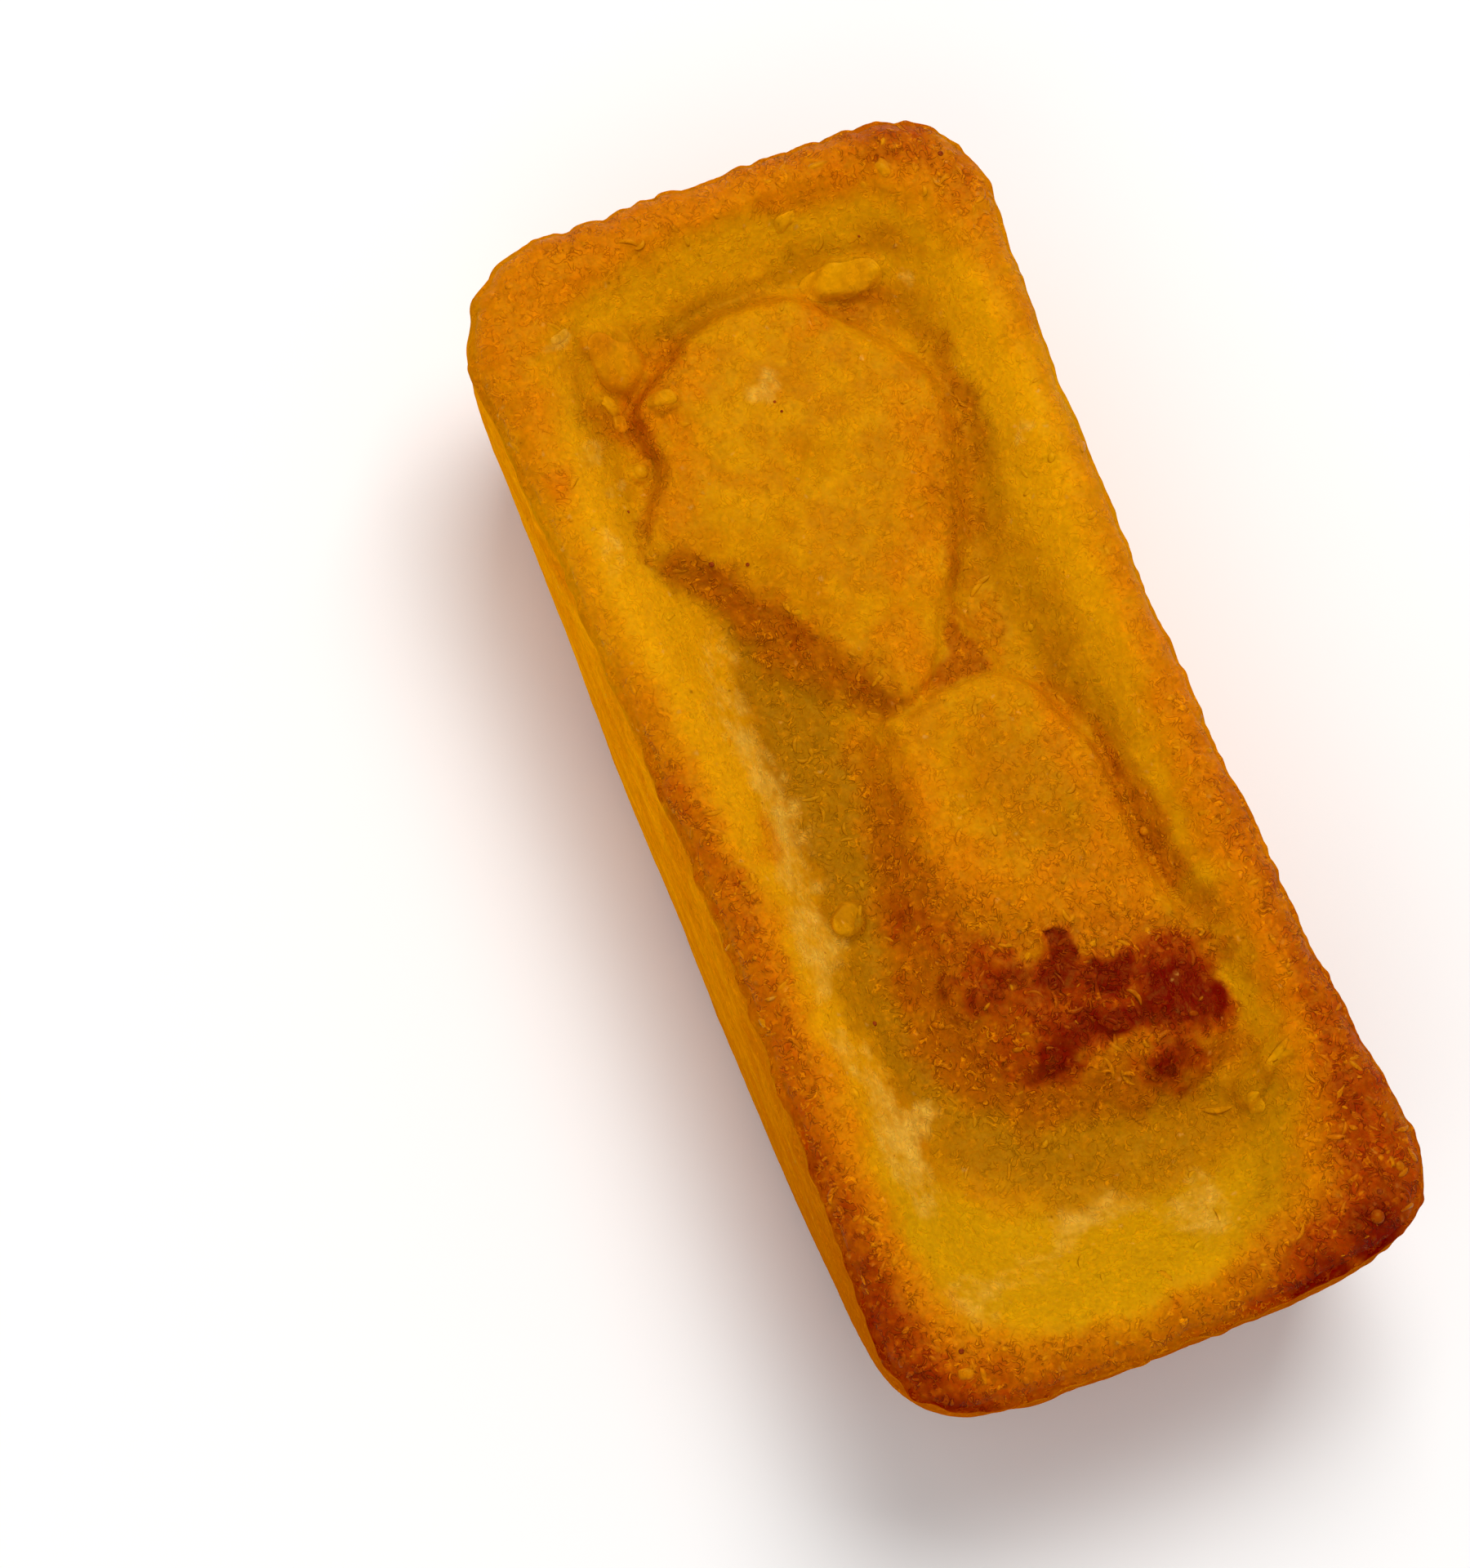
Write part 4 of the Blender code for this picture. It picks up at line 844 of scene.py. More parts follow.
class Nodes:
    """A short way to build a material's node tree."""

    def __init__(self, name):
        self.material = bpy.data.materials.new(name)
        self.material.use_nodes = True
        self.tree = self.material.node_tree
        self.place = self.add("ShaderNodeTexCoord").outputs["Object"]

    def add(self, kind, **settings):
        node = self.tree.nodes.new(kind)
        for key, value in settings.items():
            setattr(node, key, value)
        return node

    def join(self, source, target):
        if isinstance(source, (int, float, tuple)):
            target.default_value = source
        else:
            self.tree.links.new(source, target)

    def joined(self, kind, values, **settings):
        """A new node with a value or a link for each of the inputs named or numbered."""
        node = self.add(kind, **settings)
        for socket, value in values.items():
            self.join(value, node.inputs[socket])
        return node

    def math(self, operation, first, second):
        return self.joined("ShaderNodeMath", {0: first, 1: second}, operation=operation).outputs[0]

    def ramp(self, value, low, high, to_low=0.0, to_high=1.0):
        values = {"Value": value, "From Min": low, "From Max": high, "To Min": to_low, "To Max": to_high}
        node = self.joined("ShaderNodeMapRange", values, interpolation_type="SMOOTHSTEP")
        return node.outputs["Result"]

    def band(self, value, low, middle, high):
        """1 at the middle, falling to 0 at both ends."""
        return self.product(self.ramp(value, low, middle), self.ramp(value, middle, high, 1.0, 0.0))

    def noise(self, kind, output="Fac", stretch=None):
        size, detail, distortion = kind
        place = self.place
        if stretch:
            mapping = self.joined("ShaderNodeMapping", {"Vector": place, "Scale": stretch})
            place = mapping.outputs["Vector"]
        values = {"Vector": place, "Scale": 1.0 / (size * METRES), "Detail": detail, "Distortion": distortion}
        return self.joined("ShaderNodeTexNoise", values).outputs[output]

    def cells(self):
        """Uneven cells: the distance from a cell's middle, and three random values of it."""
        wave = self.noise((CELL_SIZE / CELL_WAVES, 1.0, 0.0), "Color")
        values = {0: wave, 1: (CELL_BEND * CELL_SIZE * METRES,) * 3, 2: self.place}
        shift = self.joined("ShaderNodeVectorMath", values, operation="MULTIPLY_ADD")
        values = {"Vector": shift.outputs["Vector"], "Scale": 1.0 / (CELL_SIZE * METRES)}
        node = self.joined("ShaderNodeTexVoronoi", values)
        parts = self.joined("ShaderNodeSeparateColor", {0: node.outputs["Color"]})
        return node.outputs["Distance"], *parts.outputs

    def product(self, *values):
        total = values[0]
        for value in values[1:]:
            total = self.math("MULTIPLY", total, value)
        return total

    def total(self, values, shares):
        """The sum of values, each times its share."""
        result = 0.0
        for value, share in zip(values, shares):
            result = self.math("ADD", result, self.math("MULTIPLY", value, share))
        return result

    def layer(self, name):
        return self.add("ShaderNodeAttribute", attribute_name=name).outputs["Fac"]

    def mix(self, share, first, second, blend="MIX"):
        values = {0: share, 6: first, 7: second}
        return self.joined("ShaderNodeMix", values, data_type="RGBA", blend_type=blend).outputs[2]

    def grey(self, value):
        return self.joined("ShaderNodeCombineColor", {0: value, 1: value, 2: value}).outputs[0]

    def bump(self, height, strength, distance):
        values = {"Height": height, "Strength": strength, "Distance": distance * METRES}
        return self.joined("ShaderNodeBump", values).outputs["Normal"]

    def finish(self, values):
        """Gives the shader its values and returns the material."""
        shader = self.tree.nodes["Principled BSDF"]
        for socket, value in values.items():
            self.join(value, shader.inputs[socket])
        return self.material


def baked_material(name, gloss, roughness, translucency, relief):
    """Baked cassava: golden, moist and olive in the hollows with painted shade there, browned and scorched
    above, with painted highlights and painted light on the slopes.
    """
    nodes = Nodes(name)
    ragged = nodes.noise(RAGGED)
    mottle = nodes.noise(MOTTLE)
    fleck = nodes.noise(FLECK)
    shreds = nodes.noise(SHREDS)
    crumb = nodes.layer("crumb")
    brown = nodes.layer("brown")
    char = nodes.layer("char")
    near, pick, other_pick, third_pick = nodes.cells()
    blob = nodes.ramp(near, *BLOB)
    lively = nodes.ramp(crumb, *LIVELY)
    patch = nodes.product(nodes.ramp(mottle, *SHRED_PATCH), nodes.ramp(crumb, *SHRED_ON_CRUMB))
    ridge = nodes.product(nodes.band(shreds, *RIDGE_BAND), patch)
    groove = nodes.product(nodes.band(shreds, *GROOVE_BAND), patch)

    # The golden crumb, and the stains on it with ragged edges, some of them painted light and shade
    colour = nodes.mix(nodes.ramp(nodes.noise(BLOTCH), *NOISE_SPAN), GOLDEN, WARM_GOLDEN)
    breakup = nodes.math("SUBTRACT", nodes.total((ragged, mottle), BREAKUP_SHARES), sum(BREAKUP_SHARES) / 2)
    for kind, (tint, push, softness) in TINTS.items():
        layer = nodes.layer(kind)
        cover = nodes.ramp(nodes.total((layer, breakup), (1.0, push)), 0.5 - softness, 0.5 + softness)
        colour = nodes.mix(nodes.product(cover, nodes.ramp(layer, *STAIN_ONSET)), colour, tint)
    granule = nodes.math("MAXIMUM", nodes.product(blob, nodes.ramp(pick, *BLOB_PICK)), nodes.layer("grain"))
    granule = nodes.product(granule, nodes.ramp(crumb, *BLOB_ON_CRUMB), nodes.ramp(char, *BLOB_ON_CHAR),
                            nodes.ramp(brown, *BLOB_ON_BROWN))
    colour = nodes.mix(granule, colour, GRANULE)

    # The wall, browner to the right
    along = nodes.joined("ShaderNodeSeparateXYZ", {0: nodes.place}).outputs["X"]
    streak = nodes.noise(STREAK, stretch=STREAK_STRETCH)
    side = nodes.mix(nodes.ramp(streak, *NOISE_SPAN), WALL, WALL_STREAK)
    side = nodes.mix(nodes.ramp(along, *BROWN_WALL_SPAN), side, BROWN_WALL)
    colour = nodes.mix(nodes.ramp(nodes.layer("wall"), *WALL_SPAN), colour, side)

    # Pale specks, golden shreds, and dark pits painted as the shade inside tiny pinholes
    speck = nodes.product(nodes.ramp(near, *SPECK_NEAR), nodes.ramp(other_pick, *SPECK_PICK),
                          nodes.ramp(crumb, *SPECK_ON_CRUMB))
    colour = nodes.mix(speck, colour, PALE_SPECK)
    shred = nodes.product(ridge, lively, SHRED_SHARE, nodes.ramp(brown, *SHRED_ON_BROWN),
                          nodes.ramp(char, *SHRED_ON_CHAR))
    colour = nodes.mix(shred, colour, SHRED)
    pit_shade = nodes.product(nodes.ramp(near, *PIT_NEAR), nodes.ramp(third_pick, *PIT_PICK))
    colour = nodes.mix(pit_shade, colour, PIT_SHADE)

    # Light and dark in the crumb, with painted highlights on its ridges and painted shadow in its grooves,
    # and its fine relief
    own_tone = nodes.math("MULTIPLY", blob, nodes.math("SUBTRACT", pick, 0.5))
    shade = nodes.product(nodes.ramp(mottle, *MOTTLE_TONE), nodes.ramp(fleck, *FLECK_TONE),
                          nodes.ramp(own_tone, *BLOB_TONE), nodes.ramp(ridge, *RIDGE_HIGHLIGHT),
                          nodes.ramp(groove, *GROOVE_SHADOW))
    shade = nodes.math("ADD", 1.0, nodes.product(nodes.math("SUBTRACT", shade, 1.0), lively))
    colour = nodes.mix(1.0, colour, nodes.grey(shade), "MULTIPLY")
    height = nodes.total((fleck, ridge, groove, mottle, blob), RELIEF_SHARES)
    rough = [roughness + change for change in ROUGHNESS_CHANGE]
    return nodes.finish({
        "Base Color": colour,
        "Roughness": nodes.ramp(mottle, *ROUGHNESS_SPAN, *rough),
        "Normal": nodes.bump(height, nodes.ramp(crumb, *RELIEF_ON_CRUMB), relief),
        "Subsurface Weight": translucency,
        "Subsurface Radius": TRANSLUCENT_RADIUS,
        "Subsurface Scale": TRANSLUCENT_DEPTH * METRES,
        "Specular IOR Level": gloss,
        "Specular Tint": GLOSS_TINT,
    })


# Fine modelling of the crust, which levels off towards the base: bumps, and round grains in
# the crumb, with their spacing, how they stray from it, how far they reach and their patches
FINE_BUMPS = ((1.9, 0.16, 51), (0.95, 0.13, 52), (0.6, 0.1, 53))
GRAIN_SIZE = 1.0
GRAIN_SHIFTS = (0.1, 0.9)
GRAIN_REACH = 0.75
GRAIN_SEED = 56
GRAIN_HEIGHT = 0.14
GRAIN_PATCH = (6.0, 1.0, 55)
GRAIN_PATCH_LEVEL = 0.6
LEVEL_BELOW = 1.5
CRUMB_OVER = 0.1


def roughen(points, normals, on_top):
    """Raises the fine crumb of the surface along its own normals, and says where its grains are."""
    x, y, z = points.T
    grain = grain_noise(x, y, z) * smooth_step(GRAIN_PATCH_LEVEL + uneven(x, y, z, GRAIN_PATCH))
    height = sum(uneven(x, y, z, bumps) for bumps in FINE_BUMPS) + GRAIN_HEIGHT * grain
    crumb = crumb_of(covers_at(points)) * on_top + CRUMB_LEAST * (1.0 - on_top)
    height = height * crumb * smooth_step(z / LEVEL_BELOW)
    points = points + normals * height[:, None]
    points[:, 2] = np.maximum(keep_below(points[:, 2], HEIGHT + CRUMB_OVER), 0.0)
    return points, grain


def smooth_normals(points, faces):
    """The normals of the smooth surface through the points."""
    mesh = bpy.data.meshes.new("normals")
    mesh.from_pydata(points.tolist(), [], faces)
    normals = np.empty(len(points) * 3, dtype=np.float32)
    mesh.vertex_normals.foreach_get("vector", normals)
    bpy.data.meshes.remove(mesh)
    return normals.reshape(-1, 3)


def add_piece(name, points, faces, material):
    """A smooth-shaded mesh piece that rides on the cake and stands for its solid."""
    mesh = bpy.data.meshes.new(name)
    mesh.from_pydata((points * METRES).tolist(), [], faces)
    mesh.shade_smooth()
    mesh.materials.append(material)
    piece = bpy.data.objects.new(name, mesh)
    bpy.context.scene.collection.objects.link(piece)
    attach(piece, "root")
    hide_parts(NODE)
    return piece


def add_skin(name, points, faces, on_top, grain, material):
    """The part of the skin that the faces make up, painted and with only the points it uses."""
    used, numbers = np.unique(np.concatenate([np.array(face) for face in faces]), return_inverse=True)
    ends = np.cumsum([len(face) for face in faces])[:-1]
    own_faces = [part.tolist() for part in np.split(numbers, ends)]
    piece = add_piece(name, points[used], own_faces, baked_material(*material))
    paint(piece.data, points[used], on_top[used], 1.0, grain[used])


def make_crust():
    """The cake's whole skin, its moist top and its dry side as two meshes with one border."""
    lines_a = grid_lines(RIM_HALF_LENGTH)
    lines_b = grid_lines(RIM_HALF_WIDTH)
    points = cake_points(lines_a, lines_b)
    faces = cake_faces(len(lines_a) - 1, len(lines_b) - 1, WALL_STEPS + FILLET_STEPS)
    edge_a, edge_b = np.meshgrid(RIM_HALF_LENGTH - np.abs(lines_a), RIM_HALF_WIDTH - np.abs(lines_b),
                                 indexing="ij")
    inner = smooth_step(np.minimum(edge_a, edge_b).ravel() / EDGE_WIDTH)
    on_top, moisture = [soft_between(points[:, 2], *tone) for tone in (WALL_TONE, MOIST_TONE)]
    for share in (on_top, moisture):
        share[:len(inner)] = np.maximum(share[:len(inner)], inner)
    points, grain = roughen(points, smooth_normals(points, faces), on_top)
    moist = [moisture[list(face)].min() > MOIST_FROM for face in faces]
    for name, wanted, material in (("crust", True, TOP_MATERIAL), ("side", False, SIDE_MATERIAL)):
        chosen = [face for face, is_moist in zip(faces, moist) if is_moist == wanted]
        add_skin(name, points, chosen, on_top, grain, material)
    return points, faces


# What is scattered on the crust: how grainy it looks, how far it may stand over the crest, and
# the least upward tilt of the crust below it
SCATTER_GRAIN = 0.35
SCATTER_OVER = 0.4
SCATTER_LEVEL = 0.72

# Glassy grains and strands. Sizes, shapes and how much of the crust's stains they keep are
# drawn at random between two ends; more of them lie where their weights say so.
GRAIN_TRIES = 6500
GRAIN_DRAWS = 61
GRAIN_DETAIL = 2
GRAIN_RADII = (0.13, 0.42)
GRAIN_SIZE_POWER = 2.6
GRAIN_SHAPES = ((1.0, 0.5, 0.2), (2.1, 0.85, 0.36))
GRAIN_BUMPS = (1.0, 0.6, 62)
GRAIN_SINK = -0.15
GRAIN_KEEP = (0.5, 1.0)
GRAIN_WEIGHTS = {"orange": 0.25, "amber_and_shade": 0.2, "brown": 0.4, "olive_and_shade": 0.1, "char": -0.3}
GRAIN_FEWEST = 0.05
STRAND_TRIES = 900
STRAND_DRAWS = 71
STRAND_LENGTHS = (0.6, 1.7)
STRAND_RADII = (0.16, 0.3)
STRAND_HEIGHT = 0.38
STRAND_TIP = 0.08
STRAND_STEPS = 8
STRAND_SIDES = 6
STRAND_BEND = 105.0
STRAND_WEIGHTS = {"orange": 0.1, "amber_and_shade": 0.4, "brown": 0.35, "olive_and_shade": 0.25, "char": -0.2}
STRAND_FEWEST = 0.03
STRAND_KEEP = (0.6, 1.0)
LARGE_KEEP = 0.7

# The longer strands: x, y, length, radius, heading and bend in degrees
LARGE_STRANDS = [
    (32.6, 16.6, 2.6, 0.42, -50, -30), (35.2, 14.4, 2.2, 0.4, -85, 30), (35.4, 11.2, 2.4, 0.34, -100, -25),
    (33.4, 12.6, 2.0, 0.34, -70, 40), (27.0, 3.4, 1.8, 0.24, 10, 45), (28.4, 2.6, 1.9, 0.24, 25, -50),
    (29.8, 3.6, 1.6, 0.22, 0, 60), (24.0, 6.4, 1.9, 0.26, 60, -90), (22.4, 4.4, 2.4, 0.22, -20, 35),
    (16.0, 4.2, 1.6, 0.24, -10, 60), (-12.6, 7.2, 2.6, 0.22, -25, 10), (-1.0, -11.2, 1.7, 0.22, 70, 30),
    (0.0, -10.0, 1.5, 0.2, 20, -70), (2.0, -8.6, 1.3, 0.2, -40, 70), (-4.4, -10.2, 1.1, 0.22, 30, 90),
    (3.4, -9.6, 1.2, 0.18, 100, -50),
]

# Flakes: x, y, half length, half width, half thickness, turn in degrees, tone and its strength
FLAKES = [
    (-40.9, 8.7, 3.0, 1.5, 0.42, 80, "yellow_and_light", 0.45),
    (-35.7, -9.6, 1.2, 0.75, 0.35, 82, "yellow_and_light", 0.4),
    (-40.5, -11.4, 2.3, 2.0, 0.3, 60, "orange", 0.35),
    (-37.4, -13.1, 0.95, 0.6, 0.3, 30, "yellow_and_light", 0.4),
    (-36.0, -12.9, 0.8, 0.6, 0.3, -20, "yellow_and_light", 0.3),
    # This flake carries the cream paint, a painted highlight
    (-43.4, -15.4, 0.9, 0.35, 0.2, 110, "cream_highlight", 0.3),
    (-46.4, 5.8, 0.9, 0.5, 0.2, 100, "yellow_and_light", 0.6),
    (9.6, -11.9, 1.5, 1.0, 0.35, -25, "yellow_and_light", 0.4),
    (36.0, 12.8, 0.8, 0.6, 0.3, 0, "yellow_and_light", 0.5),
    (48.2, -18.0, 0.6, 0.45, 0.25, 70, "yellow_and_light", 0.3),
    (-47.4, 14.9, 0.8, 0.5, 0.2, 15, "yellow_and_light", 0.3),
]
FLAKE_DETAIL = 4
FLAKE_SQUARENESS = 2.9
FLAKE_EDGE = (0.7, 0.2, 81)
FLAKE_BUMPS = (0.8, 0.45, 82)
FLAKE_KEEP = 0.5

# Beads: x, y and radius of the bubbles and one bright grain, and of the dark specks
BEAD_KEEP = 0.7
BEAD_HEIGHT = 0.6
BEAD_DETAIL = 3
SPECK_DETAIL = 2
BEADS = [(-31.1, -13.2, 0.7), (48.6, 17.4, 0.6), (12.0, 13.4, 0.4), (14.4, 13.2, 0.45),
         (-4.9, 0.8, 0.25)]
SPECKS = [(18.6, -13.0, 0.22), (46.4, -17.6, 0.24), (-32.1, -1.0, 0.13), (-31.1, -0.8, 0.13),
          (-20.1, -8.3, 0.17), (-21.2, -11.0, 0.25), (-46.8, 19.8, 0.24), (-43.5, 11.4, 0.12),
          (46.8, 18.4, 0.25), (47.6, 17.6, 0.2), (-27.9, -15.6, 0.14)]


def surface_finder(points, faces):
    """A function that gives the place and normal on the crust below a place in plan."""
    tree = BVHTree.FromPolygons(points.tolist(), faces)

    def find(x, y):
        place, normal, _, _ = tree.ray_cast(Vector((x, y, 2.0 * HEIGHT)), Vector((0.0, 0.0, -1.0)))
        return place, normal
    return find


def unit_ball(subdivisions):
    """Points and faces of a ball of radius 1."""
    shape = bmesh.new()
    bmesh.ops.create_icosphere(shape, subdivisions=subdivisions, radius=1.0)
    shape.verts.index_update()
    points = np.array([tuple(vert.co) for vert in shape.verts])
    faces = np.array([[vert.index for vert in face.verts] for face in shape.faces])
    shape.free()
    return points, faces


def frames_on(normals, turns):
    """For each normal a frame that stands on it, turned about it."""
    first = np.cross((0.0, 1.0, 0.0), normals)
    first = first / np.linalg.norm(first, axis=1)[:, None]
    second = np.cross(normals, first)
    cosine = np.cos(turns)[:, None]
    sine = np.sin(turns)[:, None]
    return np.stack((first * cosine + second * sine, second * cosine - first * sine, normals), axis=1)


def likely_places(find, tries, weights, fewest, seed):
    """Random places on the top, more of them where the stains' weights say so."""
    random = np.random.default_rng(seed)
    corner = np.array((RIM_HALF_LENGTH, RIM_HALF_WIDTH))
    places = []
    normals = []
    for x, y in random.uniform(-corner, corner, (tries, 2)):
        place, normal = find(x, y)
        if place is not None and normal.z > SCATTER_LEVEL:
            places.append(tuple(place))
            normals.append(tuple(normal))
    places = np.array(places)
    normals = np.array(normals)
    chance = np.full(len(places), fewest)
    for name, cover in covers_at(places).items():
        chance = chance + weights.get(name, 0.0) * cover
    kept = random.uniform(0.0, 1.0, len(places)) < np.maximum(chance, fewest / 2)
    return places[kept], normals[kept], random


def numbered(faces, count, points_each):
    """The faces of one shape, repeated for each of its copies."""
    shifted = faces[None] + (np.arange(count) * points_each)[:, None, None]
    return shifted.reshape(-1, 3).tolist()


def finish_scatter(name, points, faces, material, keep, tones=None):
    """Makes a scattered piece that takes some of its colour from the crust around it."""
    points = points.copy()
    points[:, 2] = keep_below(points[:, 2], HEIGHT + SCATTER_OVER)
    piece = add_piece(name, points, faces, material)
    paint(piece.data, points, np.ones(len(points)), keep, SCATTER_GRAIN, tones)


def add_grains(find, material):
    """Small glassy grains of cooked starch, half sunk in the crust."""
    centres, normals, random = likely_places(find, GRAIN_TRIES, GRAIN_WEIGHTS, GRAIN_FEWEST, GRAIN_DRAWS)
    count = len(centres)
    ball, faces = unit_ball(GRAIN_DETAIL)
    least, most = GRAIN_RADII
    radii = least + (most - least) * random.uniform(0.0, 1.0, count) ** GRAIN_SIZE_POWER
    scales = radii[:, None] * random.uniform(*GRAIN_SHAPES, (count, 3))
    frames = frames_on(normals, random.uniform(0.0, math.pi, count))
    seeds = random.uniform(0.0, NOISE_CELLS, (count, 3))
    shaped = ball[None] + seeds[:, None]
    bumps = 1.0 + uneven(*np.moveaxis(shaped, 2, 0), GRAIN_BUMPS)
    local = ball[None] * scales[:, None] * bumps[..., None]
    points = np.einsum("nvi,nij->nvj", local, frames) + centres[:, None]
    points = points + (normals * GRAIN_SINK * radii[:, None])[:, None]
    keep = np.repeat(random.uniform(*GRAIN_KEEP, count), len(ball))
    finish_scatter("grains", points.reshape(-1, 3), numbered(faces, count, len(ball)), material, keep)


def strand_line(find, x, y, length, radius, heading, bend):
    """Places along a strand with their heading and radius, or none where the crust is steep."""
    line = []
    for share in np.arange(STRAND_STEPS + 1) / STRAND_STEPS:
        place, normal = find(x, y)
        if place is None or normal.z < SCATTER_LEVEL:
            return []
        angle = math.radians(heading) + math.radians(bend) * share
        size = radius * math.sin(math.pi * (STRAND_TIP + (1.0 - 2.0 * STRAND_TIP) * share))
        line.append((Vector(place), angle, size))
        x += length / STRAND_STEPS * math.cos(angle)
        y += length / STRAND_STEPS * math.sin(angle)
    return line


def add_strands(find, material):
    """Short curved strands of grated cassava that stand a little proud of the crust."""
    starts, _, random = likely_places(find, STRAND_TRIES, STRAND_WEIGHTS, STRAND_FEWEST, STRAND_DRAWS)
    count = len(starts)
    drawn = np.stack((starts[:, 0], starts[:, 1], random.uniform(*STRAND_LENGTHS, count),
                      random.uniform(*STRAND_RADII, count), random.uniform(0.0, 360.0, count),
                      random.uniform(-STRAND_BEND, STRAND_BEND, count),
                      random.uniform(*STRAND_KEEP, count)), axis=1)
    large = [strand + (LARGE_KEEP,) for strand in LARGE_STRANDS]
    points = []
    faces = []
    keep = []
    for *strand, own in drawn.tolist() + large:
        line = strand_line(find, *strand)
        first = len(points)
        for place, angle, size in line:
            across = Vector((-math.sin(angle), math.cos(angle), 0.0))
            for side in range(STRAND_SIDES):
                turn = 2.0 * math.pi * side / STRAND_SIDES
                offset = across * math.cos(turn) + Vector((0.0, 0.0, STRAND_HEIGHT)) * math.sin(turn)
                points.append(tuple(place + offset * size))
                keep.append(own)
        for here in range(first, len(points) - STRAND_SIDES, STRAND_SIDES):
            for side in range(STRAND_SIDES):
                after = (side + 1) % STRAND_SIDES
                faces.append((here + side, here + after, here + STRAND_SIDES + after,
                              here + STRAND_SIDES + side))
        if line:
            faces.append(tuple(range(first + STRAND_SIDES - 1, first - 1, -1)))
            faces.append(tuple(range(len(points) - STRAND_SIDES, len(points))))
    finish_scatter("strands", np.array(points), faces, material, np.array(keep))


def add_flakes(find, material):
    """Pale flat flakes and crumbs that lie on the crust, like short bars with round corners."""
    ball, faces = unit_ball(FLAKE_DETAIL)
    flat = np.hypot(ball[:, 0], ball[:, 1])
    turns = np.arctan2(ball[:, 1], ball[:, 0])
    ahead = np.cos(turns)
    aside = np.sin(turns)
    squared = np.abs(ahead) ** FLAKE_SQUARENESS + np.abs(aside) ** FLAKE_SQUARENESS
    squared = squared ** (-1.0 / FLAKE_SQUARENESS)
    points = []
    tones = {name: [] for name in STAINS}
    for x, y, half_length, half_width, thickness, turn, tone, strength in FLAKES:
        angle = math.radians(turn)
        edge = 1.0 + uneven(ahead + x, aside + y, 0.0 * flat, FLAKE_EDGE)
        reach = np.sqrt(flat) * squared * edge
        along = ahead * reach * half_length
        across = aside * reach * half_width
        bumps = 1.0 + uneven(along + x, across + y, 0.0 * flat, FLAKE_BUMPS)
        plan_x = x + along * math.cos(angle) - across * math.sin(angle)
        plan_y = y + along * math.sin(angle) + across * math.cos(angle)
        under = np.array([find(*place)[0].z for place in zip(plan_x, plan_y)])
        lift = thickness * bumps * ball[:, 2] * np.abs(ball[:, 2])
        points.append(as_points(plan_x, plan_y, under + lift))
        for name, least in tones.items():
            least.append(np.full(len(ball), strength if name == tone else 0.0))
    tones = {name: np.concatenate(least) for name, least in tones.items()}
    faces = numbered(faces, len(FLAKES), len(ball))
    finish_scatter("flakes", np.concatenate(points), faces, material, FLAKE_KEEP, tones)


def add_beads(find, name, beads, detail, material):
    """Round beads half sunk in the crust."""
    ball, faces = unit_ball(detail)
    points = [ball * (1.0, 1.0, BEAD_HEIGHT) * radius + np.array(find(x, y)[0]) for x, y, radius in beads]
    points = np.concatenate(points)
    piece = add_piece(name, points, numbered(faces, len(beads), len(ball)), material)
    return piece, points


def add_specks(find, material):
    """The few larger beads, and tiny dark burnt specks."""
    piece, points = add_beads(find, "beads", BEADS, BEAD_DETAIL, material)
    paint(piece.data, points, np.ones(len(points)), BEAD_KEEP, SCATTER_GRAIN)
    nodes = Nodes("burnt_speck")
    colour = nodes.mix(nodes.ramp(nodes.noise(SPECK_NOISE), *NOISE_SPAN), BURNT_SPECK, DARK_SPECK)
    burnt = nodes.finish({"Base Color": colour, "Roughness": 0.6, "Specular IOR Level": 0.05})
    add_beads(find, "specks", SPECKS, SPECK_DETAIL, burnt)


# Stage, light and camera
CAMERA_PLACE = (116.1, -99.9, 523.8)
CAMERA_TARGET = (-3.3, -16.3, 24.0)
PICTURE_UP_ANGLE = 157.7
LENS = 148.5
SENSOR = 36.0
CLIP_START = 0.01
# Each light's name, place and size in metres, and power
LIGHTS = [("key", (-0.42, 0.3, 1.1), 0.7, 10.2), ("fill", (0.7, -0.7, 0.9), 1.0, 3.5)]
DAYLIGHT = 0.44
FLOOR_REACH = 2.0


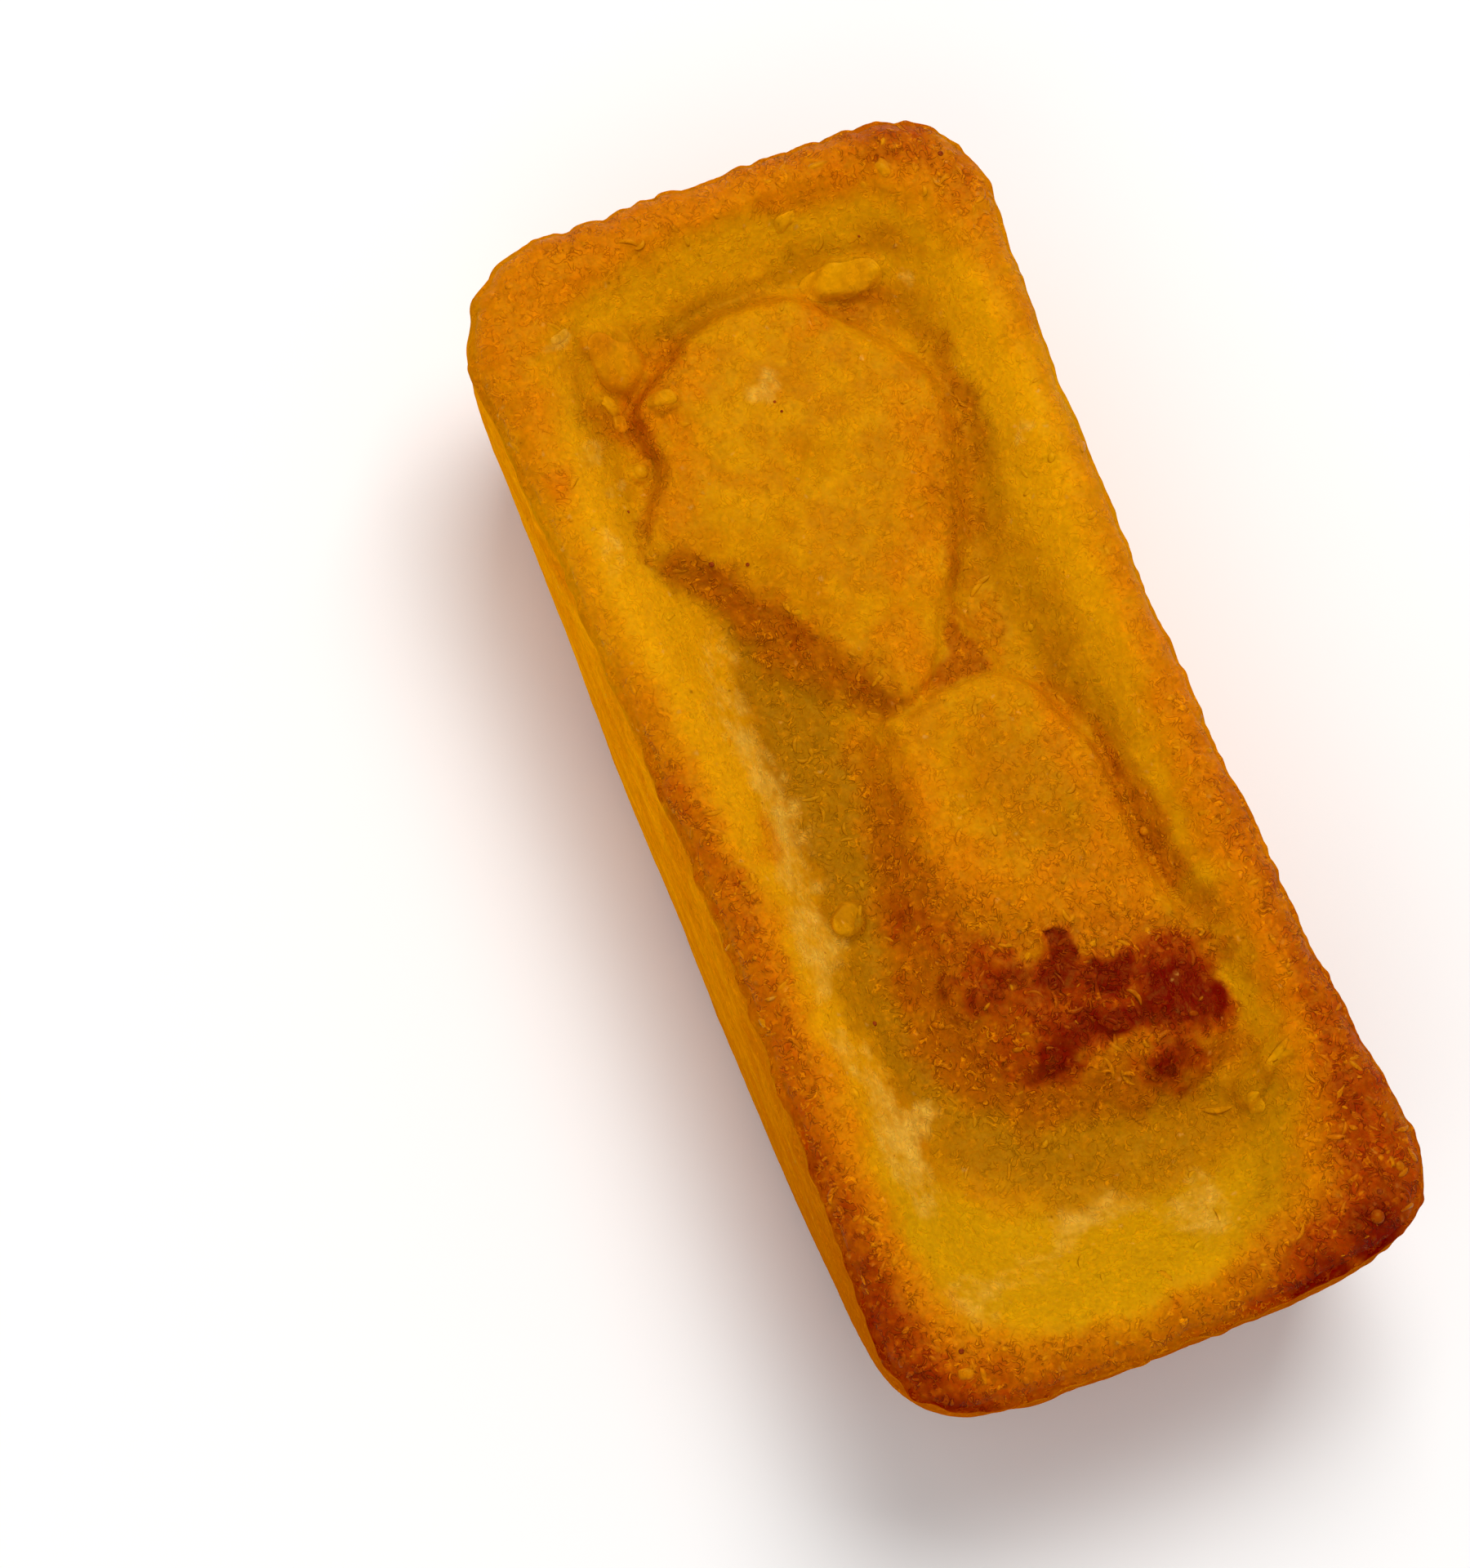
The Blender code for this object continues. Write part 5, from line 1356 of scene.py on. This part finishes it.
def add_camera():
    """The camera at the photograph's viewing angle, looking steeply down."""
    place = Vector(CAMERA_PLACE) * METRES
    forward = (Vector(CAMERA_TARGET) * METRES - place).normalized()
    turn = math.radians(PICTURE_UP_ANGLE)
    plan_up = Vector((math.cos(turn), math.sin(turn), 0.0))
    right = forward.cross(plan_up).normalized()
    up = right.cross(forward)
    data = bpy.data.cameras.new("camera")
    data.lens = LENS
    data.sensor_width = SENSOR
    data.clip_start = CLIP_START
    camera = bpy.data.objects.new("camera", data)
    turned = Matrix((right, up, -forward)).transposed().to_4x4()
    camera.matrix_world = Matrix.Translation(place) @ turned
    bpy.context.scene.collection.objects.link(camera)
    bpy.context.scene.camera = camera


def add_light(name, place, size, power):
    """A soft square light aimed at the cake."""
    data = bpy.data.lights.new(name, "AREA")
    data.size = size
    data.energy = power
    light = bpy.data.objects.new(name, data)
    light.location = place
    light.rotation_euler = (-Vector(place)).to_track_quat("-Z", "Y").to_euler()
    bpy.context.scene.collection.objects.link(light)


def add_stage():
    """A plain pale floor and soft studio light, strongest from the far left end."""
    mesh = bpy.data.meshes.new("floor")
    corners = [(x * FLOOR_REACH, y * FLOOR_REACH, 0) for x, y in ((-1, -1), (1, -1), (1, 1), (-1, 1))]
    mesh.from_pydata(corners, [], [(0, 1, 2, 3)])
    finish = {"Base Color": FLOOR_COLOUR, "Roughness": 0.9, "Specular IOR Level": 0.1}
    mesh.materials.append(Nodes("pale_floor").finish(finish))
    floor = bpy.data.objects.new("floor", mesh)
    bpy.context.scene.collection.objects.link(floor)
    for light in LIGHTS:
        add_light(*light)
    world = bpy.data.worlds.new("studio")
    world.use_nodes = True
    world.node_tree.nodes["Background"].inputs["Color"].default_value = (1.0, 1.0, 1.0, 1.0)
    world.node_tree.nodes["Background"].inputs["Strength"].default_value = DAYLIGHT
    bpy.context.scene.world = world
    bpy.context.scene.view_settings.view_transform = "Standard"


crust_points, crust_faces = make_crust()
finder = surface_finder(crust_points, crust_faces)
glassy = baked_material(*GRAIN_MATERIAL)
add_grains(finder, glassy)
add_strands(finder, glassy)
add_flakes(finder, glassy)
add_specks(finder, glassy)
add_stage()
add_camera()
